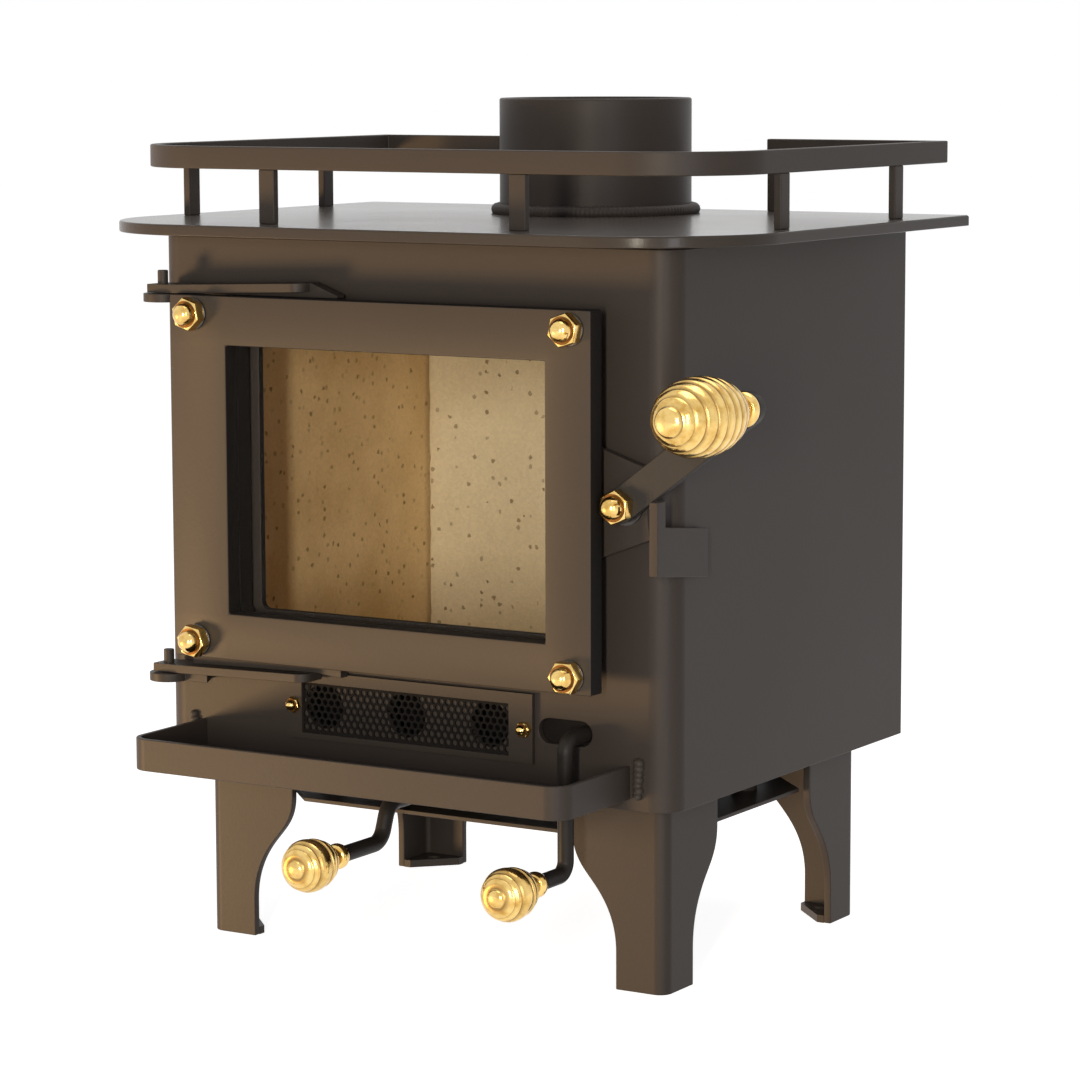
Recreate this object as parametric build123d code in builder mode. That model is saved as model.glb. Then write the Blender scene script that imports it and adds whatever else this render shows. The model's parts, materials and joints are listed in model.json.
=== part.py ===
# A small free-standing wood burner for a van or a boat, in millimetres.
# +Z is up and the door faces -Y. The origin is the centre of the four foot
# bolt holes, on the floor.
import os
from math import cos, radians, sin, sqrt

from build123d import *

os.makedirs("parts", exist_ok=True)


def save(builder, name):
    """Name a finished piece and write its STEP file."""
    builder.part.label = name
    export_step(builder.part, f"parts/{name}.step")


def front_plane(y):
    """An upright plane at depth y: local x is X, local y is Z, it faces the front."""
    return Plane.XZ.offset(-y)


def level(z):
    """A flat plane at height z."""
    return Plane.XY.offset(z)


# Clearances shared by mating pieces
running_fit = 0.05
loose_gap = 0.3
edge_break = 0.5

# Body
wall = 3.0
body_width = 225.8
body_depth = 187.0
body_height = 203.5
body_bottom = 71.0
body_middle = 2.8
body_corner_radius = 10.0
body_side = body_width / 2
body_front = body_middle - body_depth / 2
body_rear = body_middle + body_depth / 2
plate_underside = body_bottom + body_height
shadow_gap = 1.4
body_top = plate_underside - shadow_gap
ring_depth = 6.0
inner_side = body_side - wall
inner_front = body_front + wall
inner_rear = body_rear - wall
inner_corner_radius = body_corner_radius - wall

# Window opening of the body
mouth_left = 46.9 - body_side
mouth_right = body_side - 44.0
mouth_bottom = body_bottom + 61.5
mouth_top = plate_underside - 40.7
mouth_corner_radius = 3.0
mouth_width = mouth_right - mouth_left
mouth_height = mouth_top - mouth_bottom
mouth_middle = ((mouth_left + mouth_right) / 2, (mouth_bottom + mouth_top) / 2)

# Air openings of the front plate, with the slot that the front rod moves in
air_middle = -0.9
air_hole_pitch = 36.9
air_hole_places = [air_middle + step * air_hole_pitch for step in (-1, 0, 1)]
air_hole_radius = 8.5
air_height = body_bottom + 26.1
rod_radius = 3.0
front_travel = 16.0
front_rod_x = body_side - 36.4
slot_left = front_rod_x - front_travel - rod_radius - loose_gap
slot_right = front_rod_x + rod_radius + loose_gap
slot_height = 9.3

# Hotplate and flue
plate_side = body_side + 27.1
plate_front = body_front - 24.5
plate_thickness = 4.2
plate_corner_radius = 54.0
plate_top = plate_underside + plate_thickness
flue_y = body_rear - 49.1
flue_radius = 38.1
flue_wall = 3.0
flue_top = plate_top + 45.4
flue_foot = plate_underside - 6.0
flue_weld_width = 4.0
flue_weld_height = 4.6

# Rail round the hotplate
rail_side = plate_side - 8.3
rail_front = plate_front + 18.7
rail_rear = body_rear - 2.3
rail_thickness = 4.0
rail_height = 8.5
rail_bottom = plate_top + 20.2
rail_corner_radius = 40.0
rail_gap_half = flue_radius + 15.9
post_width = 7.0
post_thickness = 3.0
front_post_places = (-58.0, 52.0)
left_post_places = (-46.2, 46.3)
right_post_places = (-40.7, 52.3)

# Legs
leg_corner_x = body_side - 10.4
leg_corner_y = body_depth / 2 - 16.8
leg_thickness = 3.0
leg_bend_radius = 5.0
leg_top_width = 39.5
leg_foot_width = 21.0
leg_taper_start = 14.0
leg_taper_end = body_bottom - 14.0
leg_taper_middle = (31.0, leg_taper_end - 17.5)
foot_corner_cut = 11.0
foot_bend_relief = 2.0
foot_hole_inset = 11.0
foot_hole_radius = 2.75
foot_plate_thickness = 3.0

# Heat shield under the body: a plate whose cut corners pass inside the legs
shield_bottom = body_bottom - 15.0
shield_thickness = 1.5
shield_top = shield_bottom + shield_thickness
shield_side = leg_corner_x - 4.5
shield_side_half = leg_corner_y - leg_top_width - 0.7
shield_front_half = leg_corner_x - leg_top_width - 5.5
shield_depth_half = leg_corner_y - 0.2
shield_bolt_places = ((-80, -25), (80, -25), (-80, 25), (80, 25))
shield_bolt_radius = 2.5
shield_bolt_head_radius = 4.0
shield_bolt_head_height = 3.0
shield_spacer_radius = 5.0

# Ash lip
lip_left = 18.1 - body_side
lip_right = body_side - 17.1
lip_front = body_front - 47.5
lip_bottom = body_bottom + 4.2
lip_top = lip_bottom + 12.2
lip_wall = 2.0
lip_corner_radius = 8.0
lip_middle = (lip_left + lip_right) / 2
lip_slot_clearance = 1.0

# Fire boards
floor_thickness = 3.0
floor_top = body_bottom + floor_thickness
side_board = 15.0
back_board = 25.0
hearth_thickness = 12.0
hearth_top = floor_top + hearth_thickness
boards_front = body_front + 19.0
boards_top = mouth_top + 2.2
fire_half_width = inner_side - loose_gap - side_board
baffle_thickness = 10.0
baffle_front = boards_front + 34.7

# Grate
grate_width = 100.0
grate_depth = 60.0
grate_thickness = 6.0
grate_corner_radius = 3.0
grate_ledge = 6.0
grate_slots = 9
grate_slot_width = 5.0
grate_slot_pitch = 10.0

# Front air slider and its box
slider_thickness = 1.5
slider_height = 21.6
slider_left = air_hole_places[0] - 12.2
slider_right = front_rod_x + 7.5
slider_hole_radius = 7.5
guide_spacer = 2.0
guide_lip = 2.6
guide_thickness = 1.5
box_left = slider_left - front_travel - 4.0
box_right = slider_right + 8.0
box_bottom = air_height - slider_height / 2 - 4.3
box_top = air_height + slider_height / 2 + 12.1
box_rear = boards_front - 0.5
box_sheet = 1.5
box_vents = 5
box_vent_length = 20.0
box_vent_width = 6.0

# Rods
front_bend_radius = 5.0
front_rod_drop_y = body_front - 13.1
front_rod_low = body_bottom - 22.7
front_knob_foot = body_front - 32.0
floor_bend_radius = 7.0
floor_rod_drop_start = body_front - 13.5
floor_rod_drop_end = body_front - 18.7
floor_rod_low = body_bottom - 18.5
floor_knob_foot = body_front - 44.9

# Small knobs on the rods: distances are measured from the foot of the knob
small_knob_radius = 9.7
small_knob_widest = 21.0
small_knob_halves = (14.5, 8.6)
small_knob_tiers = (7.2, 12.5, 17.5, 24.5, 28.2)
small_knob_groove = 0.5
small_knob_bead = (4.4, 4.6)
small_knob_neck = 3.6
small_knob_boss = (2.6, 1.8)
knob_socket_depth = 10.0

# Floor air slider
floor_hole_pitch = 36.0
floor_hole_radius = 7.0
floor_travel = 20.0
floor_slider_half = 50.0
floor_slider_depth = 46.0
floor_guide_length = 80.0

# Air cover and mesh
cover_left = air_middle - 52.6
cover_right = air_middle + 56.6
cover_bottom = air_height - 12.7
cover_top = air_height + 13.2
cover_thickness = 2.0
mesh_left = air_middle - 46.0
mesh_right = air_middle + 46.4
mesh_bottom = air_height - 10.5
mesh_top = air_height + 8.9
mesh_thickness = 0.8
mesh_margin = 2.0
mesh_play = 0.2
mesh_pitch = 2.9
mesh_hole_radius = 1.1
cover_nut_places = (air_middle - 49.3, air_middle + 53.2)

# Door
door_left = mouth_left - 27.9
door_right = mouth_right + 21.4
door_bottom = mouth_bottom - 17.5
door_top = mouth_top + 18.4
door_front = body_front - 18.4
door_thickness = 8.0
door_corner_radius = 1.5
door_edge_chamfer = 0.6
door_rear = door_front + door_thickness
door_middle = ((door_left + door_right) / 2, (door_bottom + door_top) / 2)
door_width = door_right - door_left
door_height = door_top - door_bottom
pane_left = mouth_left - 2.3
pane_right = mouth_right + 2.3
pane_middle = ((pane_left + pane_right) / 2, (mouth_bottom + mouth_top) / 2)
pane_width = pane_right - pane_left
pane_height = mouth_height
pane_overlap = 5.0
glass_front = door_front + 2.9
glass_thickness = 4.0
glass_rear = glass_front + glass_thickness
tape_setback = 0.5
back_frame_inset = 4.8
back_frame_thickness = 2.0
back_frame_rear = door_rear + back_frame_thickness
channel_rear = body_front - 2.8
channel_wall = 1.5
channel_inner = 2.5
channel_outer = 11.0
rope_play = 0.1
rope_rear = body_front - loose_gap
rope_round = 2.8
nut_left = door_left + 10.9
nut_right = door_right - 8.8
nut_low = door_bottom + 6.5
nut_high = door_top - 6.9
door_nut_places = [(x, z) for z in (nut_low, nut_high) for x in (nut_left, nut_right)]

# Acorn nuts, large on the door and latch, small on the air cover
large_thread_radius = 3.0
large_nut_flats = 11.0
large_nut_hex = 5.0
large_nut_dome = 5.0
large_stud_reach = 2.0
large_washer_radius = 7.0
large_washer_thickness = 1.0
small_thread_radius = 1.5
small_nut_flats = 5.5
small_nut_hex = 2.4
small_nut_dome = 2.6
small_stud_reach = 1.0

# Hinges
hinge_x = door_left - 8.6
hinge_y = body_front - 10.9
pin_radius = 2.0
bracket_thickness = 3.2
bracket_eye_radius = 7.5
pin_stand = 5.2
leaf_left = hinge_x - 4.6
leaf_front = door_front + 3.5
leaf_rear = body_front - 3.5
leaf_thickness = 3.2
leaf_slope_start = hinge_x + 6.0
leaf_nose_start = door_left + 57.5
leaf_nose_end = leaf_nose_start + 12.0
leaf_tip_radius = 5.0
leaf_spacer_front = door_rear + 2.1
leaf_spacer_inset = 1.0
upper_leaf_bottom = door_top + 0.1
upper_leaf_lift = 2.2
upper_nose_tip = door_top + 1.0
lower_leaf_bottom = door_bottom - 8.0
lower_leaf_lift = 1.2
lower_nose_tip = lower_leaf_bottom + leaf_thickness
upper_bracket_right = hinge_x + 6.0
lower_bracket_right_front = hinge_x + 18.0
lower_bracket_right_rear = hinge_x + 12.5

# Latch
latch_x = door_right + 6.7
latch_z = door_bottom + 67.6
latch_bracket_rear = body_front - 2.1
latch_bracket_front = latch_bracket_rear - 3.0
bracket_left = mouth_right + channel_outer + channel_wall
bracket_upper_corner = (latch_x + 6.5, latch_z + 14.1)
bracket_lower_corner = (latch_x + 9.7, latch_z - 12.0)
bracket_top = latch_z + 21.4
bracket_low = latch_z - 21.6
latch_washer_radius = 7.2
latch_stud_head_radius = 4.5
latch_stud_head_height = 1.2
lever_angle = 36.3
lever_length = 62.7
lever_width = 12.2
lever_thickness = 3.8
lever_rear = latch_bracket_front - large_washer_thickness - loose_gap
lever_front = lever_rear - lever_thickness
knob_x = latch_x + lever_length * cos(radians(lever_angle))
knob_z = latch_z + lever_length * sin(radians(lever_angle))
knob_screw_radius = 2.5
knob_screw_head_radius = 4.5
knob_screw_head_height = 2.2
knob_screw_depth = 16.0

# Latch knob: distances are measured from the front of the lever
latch_knob_radius = 14.1
latch_knob_widest = 33.0
latch_knob_halves = (25.5, 22.5)
latch_knob_tiers = (9.5, 24.0, 32.0, 39.0, 45.0, 50.0, 53.6)
latch_knob_groove = 0.9
latch_knob_bead = (5.4, 2.0)
latch_knob_neck = 4.8
latch_knob_boss = (4.2, 2.4)

# Catch plate on the side of the body
catch_left = body_side
catch_thickness = 3.5
catch_prong_rear = lever_front - 0.5
catch_prong_depth = 5.8
catch_front = catch_prong_rear - catch_prong_depth
catch_rear = body_front + 19.9
catch_prong_top = latch_z + 3.2
catch_prong_root = latch_z - 6.2
catch_top_rear = latch_z - 9.7
catch_low_front = latch_z - 23.2
catch_low_rear = latch_z - 27.4


# Body shell: one sheet folded round the front and the sides
with BuildPart() as body_shell:
    with BuildSketch(level(body_bottom)) as shell_plan:
        with Locations((0, body_front)):
            Rectangle(body_width, body_depth, align=(Align.CENTER, Align.MIN))
        fillet(shell_plan.vertices().group_by(Axis.Y)[0], body_corner_radius)
        with BuildSketch(level(body_bottom), mode=Mode.PRIVATE) as hollow_plan:
            with Locations((0, inner_front)):
                Rectangle(2 * inner_side, body_depth, align=(Align.CENTER, Align.MIN))
            fillet(hollow_plan.vertices().group_by(Axis.Y)[0], inner_corner_radius)
        add(hollow_plan.sketch, mode=Mode.SUBTRACT)
    extrude(amount=body_top - body_bottom)
    with BuildSketch(front_plane(inner_front)):
        with Locations(mouth_middle):
            RectangleRounded(mouth_width, mouth_height, mouth_corner_radius)
        with Locations([(x, air_height) for x in air_hole_places]):
            Circle(air_hole_radius)
        with Locations(((slot_left + slot_right) / 2, air_height)):
            SlotOverall(slot_right - slot_left, slot_height)
    extrude(amount=wall, mode=Mode.SUBTRACT)
save(body_shell, "body_shell")

# Back panel: closes the shell between its side walls
with BuildPart() as back_panel:
    with BuildSketch(front_plane(body_rear)):
        with Locations((0, body_bottom)):
            Rectangle(2 * inner_side, body_top - body_bottom, align=(Align.CENTER, Align.MIN))
    extrude(amount=wall)
save(back_panel, "back_panel")

# Floor plate: carries the hearth, with three holes for the primary air
with BuildPart() as floor_plate:
    with BuildSketch(level(body_bottom)) as floor_plan:
        with Locations((0, inner_front)):
            Rectangle(2 * inner_side, inner_rear - inner_front, align=(Align.CENTER, Align.MIN))
        fillet(floor_plan.vertices().group_by(Axis.Y)[0], inner_corner_radius)
        with GridLocations(floor_hole_pitch, 1, 3, 1):
            Circle(floor_hole_radius, mode=Mode.SUBTRACT)
        with Locations(shield_bolt_places):
            Circle(shield_bolt_radius + running_fit, mode=Mode.SUBTRACT)
    extrude(amount=floor_thickness)
save(floor_plate, "floor_plate")

# Top ring: an inner frame that lifts the hotplate clear of the walls
with BuildPart() as top_ring:
    with BuildSketch(level(body_top - ring_depth)) as ring_plan:
        with Locations((0, inner_front)):
            Rectangle(2 * inner_side, inner_rear - inner_front, align=(Align.CENTER, Align.MIN))
        fillet(ring_plan.vertices().group_by(Axis.Y)[0], inner_corner_radius)
        offset(amount=-wall, mode=Mode.SUBTRACT)
    extrude(amount=ring_depth + shadow_gap)
save(top_ring, "top_ring")

# Hotplate: overhangs the body at the front and sides, round at the front
with BuildPart() as top_plate:
    with BuildSketch(level(plate_underside)) as plate_plan:
        with Locations((0, plate_front)):
            Rectangle(2 * plate_side, body_rear - plate_front, align=(Align.CENTER, Align.MIN))
        fillet(plate_plan.vertices().group_by(Axis.Y)[0], plate_corner_radius)
        with Locations((0, flue_y)):
            Circle(flue_radius + loose_gap, mode=Mode.SUBTRACT)
    extrude(amount=plate_thickness)
    chamfer(top_plate.faces().sort_by(Axis.Z)[-1].outer_wire().edges(), edge_break)
save(top_plate, "top_plate")

# Flue collar: a short tube through the hotplate
with BuildPart() as flue_collar:
    with BuildSketch(level(flue_foot)):
        with Locations((0, flue_y)):
            Circle(flue_radius)
            Circle(flue_radius - flue_wall, mode=Mode.SUBTRACT)
    extrude(amount=flue_top - flue_foot)
    chamfer(flue_collar.faces().sort_by(Axis.Z)[-1].edges(), edge_break)
save(flue_collar, "flue_collar")

# Collar weld: the bead that joins the collar to the hotplate
with BuildPart() as collar_weld:
    with BuildSketch(Plane.XZ.offset(-flue_y)):
        with BuildLine():
            Line((flue_radius, plate_top), (flue_radius + flue_weld_width, plate_top))
            ThreePointArc(
                (flue_radius + flue_weld_width, plate_top),
                (flue_radius + 0.66 * flue_weld_width, plate_top + 0.66 * flue_weld_height),
                (flue_radius, plate_top + flue_weld_height),
            )
            Line((flue_radius, plate_top + flue_weld_height), (flue_radius, plate_top))
        make_face()
    revolve(axis=Axis((0, flue_y, 0), (0, 0, 1)))
save(collar_weld, "collar_weld")

# Rail: a flat bar on edge round the hotplate, open behind the flue
with BuildPart() as rail:
    with BuildSketch(level(rail_bottom)) as rail_plan:
        with Locations((0, rail_front)):
            Rectangle(2 * rail_side, rail_rear - rail_front, align=(Align.CENTER, Align.MIN))
        fillet(rail_plan.vertices().group_by(Axis.Y)[0], rail_corner_radius)
        offset(amount=-rail_thickness, mode=Mode.SUBTRACT)
        with Locations((0, rail_rear)):
            Rectangle(2 * rail_gap_half, 4 * rail_thickness, mode=Mode.SUBTRACT)
    extrude(amount=rail_height)
save(rail, "rail")

# Rail posts: eight short bars standing on the hotplate
rail_mid = rail_thickness / 2
front_posts = [(x, rail_front + rail_mid) for x in front_post_places]
rear_post_x = rail_gap_half + post_width / 2
rear_posts = [(x, rail_rear - rail_mid) for x in (-rear_post_x, rear_post_x)]
left_posts = [(-rail_side + rail_mid, y) for y in left_post_places]
right_posts = [(rail_side - rail_mid, y) for y in right_post_places]
with BuildPart() as rail_posts:
    with BuildSketch(level(plate_top)):
        with Locations(front_posts + rear_posts):
            Rectangle(post_width, post_thickness)
        with Locations(left_posts + right_posts):
            Rectangle(post_thickness, post_width)
    extrude(amount=rail_bottom - plate_top)
save(rail_posts, "rail_posts")


def taper_outline(plane, corner, inward):
    """The waste beside one flange of a leg, seen square on: an S-shaped taper."""
    foot = corner + inward * leg_foot_width
    bend = corner + inward * leg_taper_middle[0]
    top = corner + inward * leg_top_width
    far = corner + inward * 2 * leg_top_width
    with BuildSketch(plane) as waste:
        with BuildLine():
            Line((foot, 0), (foot, leg_taper_start))
            Spline(
                (foot, leg_taper_start),
                (bend, leg_taper_middle[1]),
                (top, leg_taper_end),
                tangents=[(0, 1), (0, 1)],
            )
            Polyline((top, leg_taper_end), (top, body_bottom), (far, body_bottom), (far, 0), (foot, 0))
        make_face()
    return waste.sketch


def leg_corner(side, end, inset, radius):
    """A square with one round corner, set in from the outer corner of a leg."""
    corner_x = side * (leg_corner_x - inset)
    corner_y = end * (leg_corner_y - inset)
    align_x = Align.MIN if side < 0 else Align.MAX
    align_y = Align.MIN if end < 0 else Align.MAX
    with BuildSketch(level(0)) as corner_plan:
        with Locations((corner_x, corner_y)):
            Rectangle(2 * leg_top_width, 2 * leg_top_width, align=(align_x, align_y))
        fillet(corner_plan.vertices().sort_by_distance((corner_x, corner_y, 0))[0], radius)
    return corner_plan.sketch


def folded_leg(side, end):
    """One leg: an angle of folded plate that narrows towards the floor."""
    outside = leg_corner(side, end, 0, leg_bend_radius)
    inside = leg_corner(side, end, leg_thickness, leg_bend_radius - leg_thickness)
    front_waste = taper_outline(Plane.XZ, side * leg_corner_x, -side)
    side_waste = taper_outline(Plane.YZ, end * leg_corner_y, -end)
    with BuildPart() as leg:
        extrude(outside, amount=body_bottom)
        extrude(inside, amount=body_bottom, mode=Mode.SUBTRACT)
        extrude(front_waste, amount=2 * leg_corner_y, both=True, mode=Mode.SUBTRACT)
        extrude(side_waste, amount=2 * leg_corner_x, both=True, mode=Mode.SUBTRACT)
    return leg


# Legs: four folded plates, named by the corner they stand at
leg_places = {
    "leg_front_left": (-1, -1),
    "leg_front_right": (1, -1),
    "leg_rear_left": (-1, 1),
    "leg_rear_right": (1, 1),
}
for leg_name, (side, end) in leg_places.items():
    save(folded_leg(side, end), leg_name)

# Foot plates: a small plate with a bolt hole in the bottom of each leg
with BuildPart() as foot_plates:
    with BuildSketch(level(0)):
        for side, end in leg_places.values():
            corner_x = side * (leg_corner_x - leg_thickness)
            corner_y = end * (leg_corner_y - leg_thickness)
            long_run = leg_foot_width - leg_thickness
            short_run = long_run - foot_corner_cut
            with BuildLine():
                Polyline(
                    (corner_x - side * foot_bend_relief, corner_y),
                    (corner_x - side * long_run, corner_y),
                    (corner_x - side * long_run, corner_y - end * short_run),
                    (corner_x - side * short_run, corner_y - end * long_run),
                    (corner_x, corner_y - end * long_run),
                    (corner_x, corner_y - end * foot_bend_relief),
                    close=True,
                )
            make_face()
        foot_span_x = 2 * (leg_corner_x - foot_hole_inset)
        foot_span_y = 2 * (leg_corner_y - foot_hole_inset)
        with GridLocations(foot_span_x, foot_span_y, 2, 2):
            Circle(foot_hole_radius, mode=Mode.SUBTRACT)
    extrude(amount=foot_plate_thickness)
save(foot_plates, "foot_plates")

# Heat shield: a flat plate between the legs, with its corners cut off
with BuildPart() as heat_shield:
    with BuildSketch(level(shield_bottom)):
        with BuildLine():
            Polyline(
                (shield_side, 0),
                (shield_side, shield_side_half),
                (shield_front_half, shield_depth_half),
                (0, shield_depth_half),
                (0, 0),
                close=True,
            )
        make_face()
        mirror(about=Plane.YZ)
        mirror(about=Plane.XZ)
        with Locations(shield_bolt_places):
            Circle(shield_bolt_radius + loose_gap, mode=Mode.SUBTRACT)
    extrude(amount=shield_thickness)
save(heat_shield, "heat_shield")

# Shield spacers: four tubes that hang the shield below the floor
with BuildPart() as shield_spacers:
    with BuildSketch(level(shield_top)):
        with Locations(shield_bolt_places):
            Circle(shield_spacer_radius)
            Circle(shield_bolt_radius + loose_gap, mode=Mode.SUBTRACT)
    extrude(amount=body_bottom - shield_top)
save(shield_spacers, "shield_spacers")

# Shield bolts: four bolts from below into the floor plate
with BuildPart() as shield_bolts:
    with BuildSketch(level(shield_bottom - shield_bolt_head_height)):
        with Locations(shield_bolt_places):
            RegularPolygon(shield_bolt_head_radius, 6, major_radius=False)
    extrude(amount=shield_bolt_head_height)
    with BuildSketch(level(shield_bottom)):
        with Locations(shield_bolt_places):
            Circle(shield_bolt_radius)
    extrude(amount=floor_top - shield_bottom)
save(shield_bolts, "shield_bolts")

# Ash lip: an open tray in front of the body, with a slot for the front rod
with BuildPart() as ash_lip:
    with BuildSketch(level(lip_bottom)) as lip_plan:
        with Locations((lip_middle, lip_front)):
            Rectangle(
                lip_right - lip_left, body_front - lip_front, align=(Align.CENTER, Align.MIN)
            )
        fillet(lip_plan.vertices().group_by(Axis.Y)[0], lip_corner_radius)
    extrude(amount=lip_top - lip_bottom)
    with BuildSketch(level(lip_top)) as tray_plan:
        with Locations((lip_middle, lip_front + lip_wall)):
            Rectangle(
                lip_right - lip_left - 2 * lip_wall,
                body_front - lip_front,
                align=(Align.CENTER, Align.MIN),
            )
        fillet(tray_plan.vertices().group_by(Axis.Y)[0], lip_corner_radius - lip_wall)
    extrude(amount=-(lip_top - lip_bottom - lip_wall), mode=Mode.SUBTRACT)
    slot_clear = rod_radius + lip_slot_clearance
    with BuildSketch(level(lip_bottom)):
        with Locations((front_rod_x - front_travel / 2, front_rod_drop_y)):
            SlotOverall(front_travel + 2 * slot_clear, 2 * slot_clear)
    extrude(amount=lip_wall, mode=Mode.SUBTRACT)
save(ash_lip, "ash_lip")

# Side boards: loose fire boards against the side walls
for board_name, side in (("brick_left", -1), ("brick_right", 1)):
    with BuildPart() as side_brick:
        with BuildSketch(level(floor_top)):
            with Locations((side * (fire_half_width + side_board / 2), boards_front)):
                Rectangle(
                    side_board,
                    inner_rear - loose_gap - boards_front,
                    align=(Align.CENTER, Align.MIN),
                )
        extrude(amount=boards_top - floor_top)
    save(side_brick, board_name)

# Back board: stands between the side boards
with BuildPart() as brick_back:
    with BuildSketch(level(hearth_top)):
        with Locations((0, inner_rear - loose_gap)):
            Rectangle(
                2 * (fire_half_width - loose_gap), back_board, align=(Align.CENTER, Align.MAX)
            )
    extrude(amount=boards_top - hearth_top)
save(brick_back, "brick_back")

# Hearth board: covers the floor, with a stepped window for the grate
with BuildPart() as hearth_brick:
    with BuildSketch(level(floor_top)):
        with Locations((0, boards_front)):
            Rectangle(
                2 * (fire_half_width - loose_gap),
                inner_rear - loose_gap - boards_front,
                align=(Align.CENTER, Align.MIN),
            )
        Rectangle(
            grate_width - 2 * grate_ledge, grate_depth - 2 * grate_ledge, mode=Mode.SUBTRACT
        )
        with Locations(shield_bolt_places):
            Circle(shield_bolt_radius + loose_gap, mode=Mode.SUBTRACT)
    extrude(amount=hearth_thickness)
    with BuildSketch(level(hearth_top)):
        Rectangle(grate_width + 2 * loose_gap, grate_depth + 2 * loose_gap)
    extrude(amount=-grate_thickness, mode=Mode.SUBTRACT)
save(hearth_brick, "hearth_brick")

# Grate: a slotted cast plate set flush in the hearth board
with BuildPart() as grate:
    with BuildSketch(level(hearth_top - grate_thickness)):
        RectangleRounded(grate_width, grate_depth, grate_corner_radius)
        with GridLocations(grate_slot_pitch, 1, grate_slots, 1):
            SlotOverall(
                grate_depth - 3 * grate_ledge, grate_slot_width, rotation=90, mode=Mode.SUBTRACT
            )
    extrude(amount=grate_thickness)
save(grate, "grate")

# Baffle: rests on the boards and leaves a way for the smoke at the front
with BuildPart() as baffle:
    with BuildSketch(level(boards_top)):
        with Locations((0, baffle_front)):
            Rectangle(
                2 * (inner_side - loose_gap),
                inner_rear - loose_gap - baffle_front,
                align=(Align.CENTER, Align.MIN),
            )
    extrude(amount=baffle_thickness)
save(baffle, "baffle")

# Air box: a folded channel behind the front air holes, vented upwards
box_middle = (box_left + box_right) / 2
box_width = box_right - box_left
with BuildPart() as air_box:
    with BuildSketch(level(box_bottom)):
        with Locations((box_middle, box_rear)):
            Rectangle(box_width, box_rear - inner_front, align=(Align.CENTER, Align.MAX))
    extrude(amount=box_top - box_bottom)
    with BuildSketch(level(box_bottom + box_sheet)):
        with Locations((box_middle, box_rear - box_sheet)):
            Rectangle(
                box_width - 2 * box_sheet,
                box_rear - inner_front - box_sheet,
                align=(Align.CENTER, Align.MAX),
            )
    extrude(amount=box_top - box_bottom - 2 * box_sheet, mode=Mode.SUBTRACT)
    with BuildSketch(level(box_top)):
        with Locations((box_middle, (inner_front + box_rear) / 2)):
            with GridLocations(box_width / (box_vents + 1), 1, box_vents, 1):
                SlotOverall(box_vent_length, box_vent_width)
    extrude(amount=-box_sheet, mode=Mode.SUBTRACT)
save(air_box, "air_box")

# Front slider: a strip with three holes that opens and shuts the front air
slider_front = inner_front + loose_gap
slider_rear = slider_front + slider_thickness
with BuildPart() as front_slider:
    with BuildSketch(front_plane(slider_rear)):
        with Locations(((slider_left + slider_right) / 2, air_height)):
            Rectangle(slider_right - slider_left, slider_height)
        with Locations([(x, air_height) for x in air_hole_places]):
            Circle(slider_hole_radius, mode=Mode.SUBTRACT)
    extrude(amount=slider_thickness)
save(front_slider, "front_slider")

# Front guides: two Z strips that hold the slider against the front plate
guide_step = slider_rear + loose_gap
guide_rear = guide_step + guide_thickness
slider_half = slider_height / 2
with BuildPart() as front_guides:
    with BuildSketch(Plane.YZ.offset(box_left + 2 * box_sheet)):
        for sign in (-1, 1):
            near = air_height + sign * (slider_half + loose_gap)
            far = near + sign * guide_spacer
            lip = near - sign * guide_lip
            with BuildLine():
                Polyline(
                    (inner_front, near),
                    (inner_front, far),
                    (guide_rear, far),
                    (guide_rear, lip),
                    (guide_step, lip),
                    (guide_step, near),
                    close=True,
                )
            make_face()
    extrude(amount=box_width - 4 * box_sheet)
save(front_guides, "front_guides")

# Front rod: welded to the slider, out through the slot and down past the lip
with BuildPart() as front_rod:
    with BuildLine() as front_path:
        FilletPolyline(
            (front_rod_x, slider_front, air_height),
            (front_rod_x, front_rod_drop_y, air_height),
            (front_rod_x, front_rod_drop_y, front_rod_low),
            (front_rod_x, front_knob_foot - knob_socket_depth, front_rod_low),
            radius=front_bend_radius,
        )
    with BuildSketch(Plane.XZ.offset(-slider_front)):
        with Locations((front_rod_x, air_height)):
            Circle(rod_radius)
    sweep(path=front_path.line)
save(front_rod, "front_rod")


def hive_radius(along, radius, widest, halves):
    """Radius of the smooth beehive shape at a distance from the foot of a knob."""
    half_length = halves[0] if along < widest else halves[1]
    return radius * sqrt(1 - ((along - widest) / half_length) ** 2)


def hive_knob(foot, radius, widest, halves, tiers, groove, bead, neck, boss, bore):
    """A turned beehive knob: a bead, a neck, ringed tiers and a small boss."""
    x, y, z = foot
    bead_radius, bead_length = bead
    boss_radius, boss_length = boss
    bore_radius, bore_depth = bore
    end = tiers[-1] + boss_length
    with BuildPart() as knob:
        with BuildSketch(Plane(origin=foot, x_dir=(1, 0, 0), z_dir=(0, 0, -1))):
            with BuildLine():
                Line((0, 0), (neck, 0))
                ThreePointArc((neck, 0), (bead_radius, bead_length / 2), (neck, bead_length))
                Line((neck, bead_length), (neck, tiers[0]))
                low_radius = neck
                for start, stop in zip(tiers[:-1], tiers[1:]):
                    middle = (start + stop) / 2
                    high_radius = hive_radius(stop, radius, widest, halves) - groove
                    ThreePointArc(
                        (low_radius, start),
                        (hive_radius(middle, radius, widest, halves), middle),
                        (high_radius, stop),
                    )
                    low_radius = high_radius
                Polyline((low_radius, tiers[-1]), (boss_radius, tiers[-1]), (boss_radius, end))
                Polyline((boss_radius, end), (0, end), (0, 0))
            make_face()
        revolve(axis=Axis(foot, (0, -1, 0)))
        with BuildSketch(front_plane(y)):
            with Locations((x, z)):
                Circle(bore_radius)
        extrude(amount=bore_depth, mode=Mode.SUBTRACT)
    return knob


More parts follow.
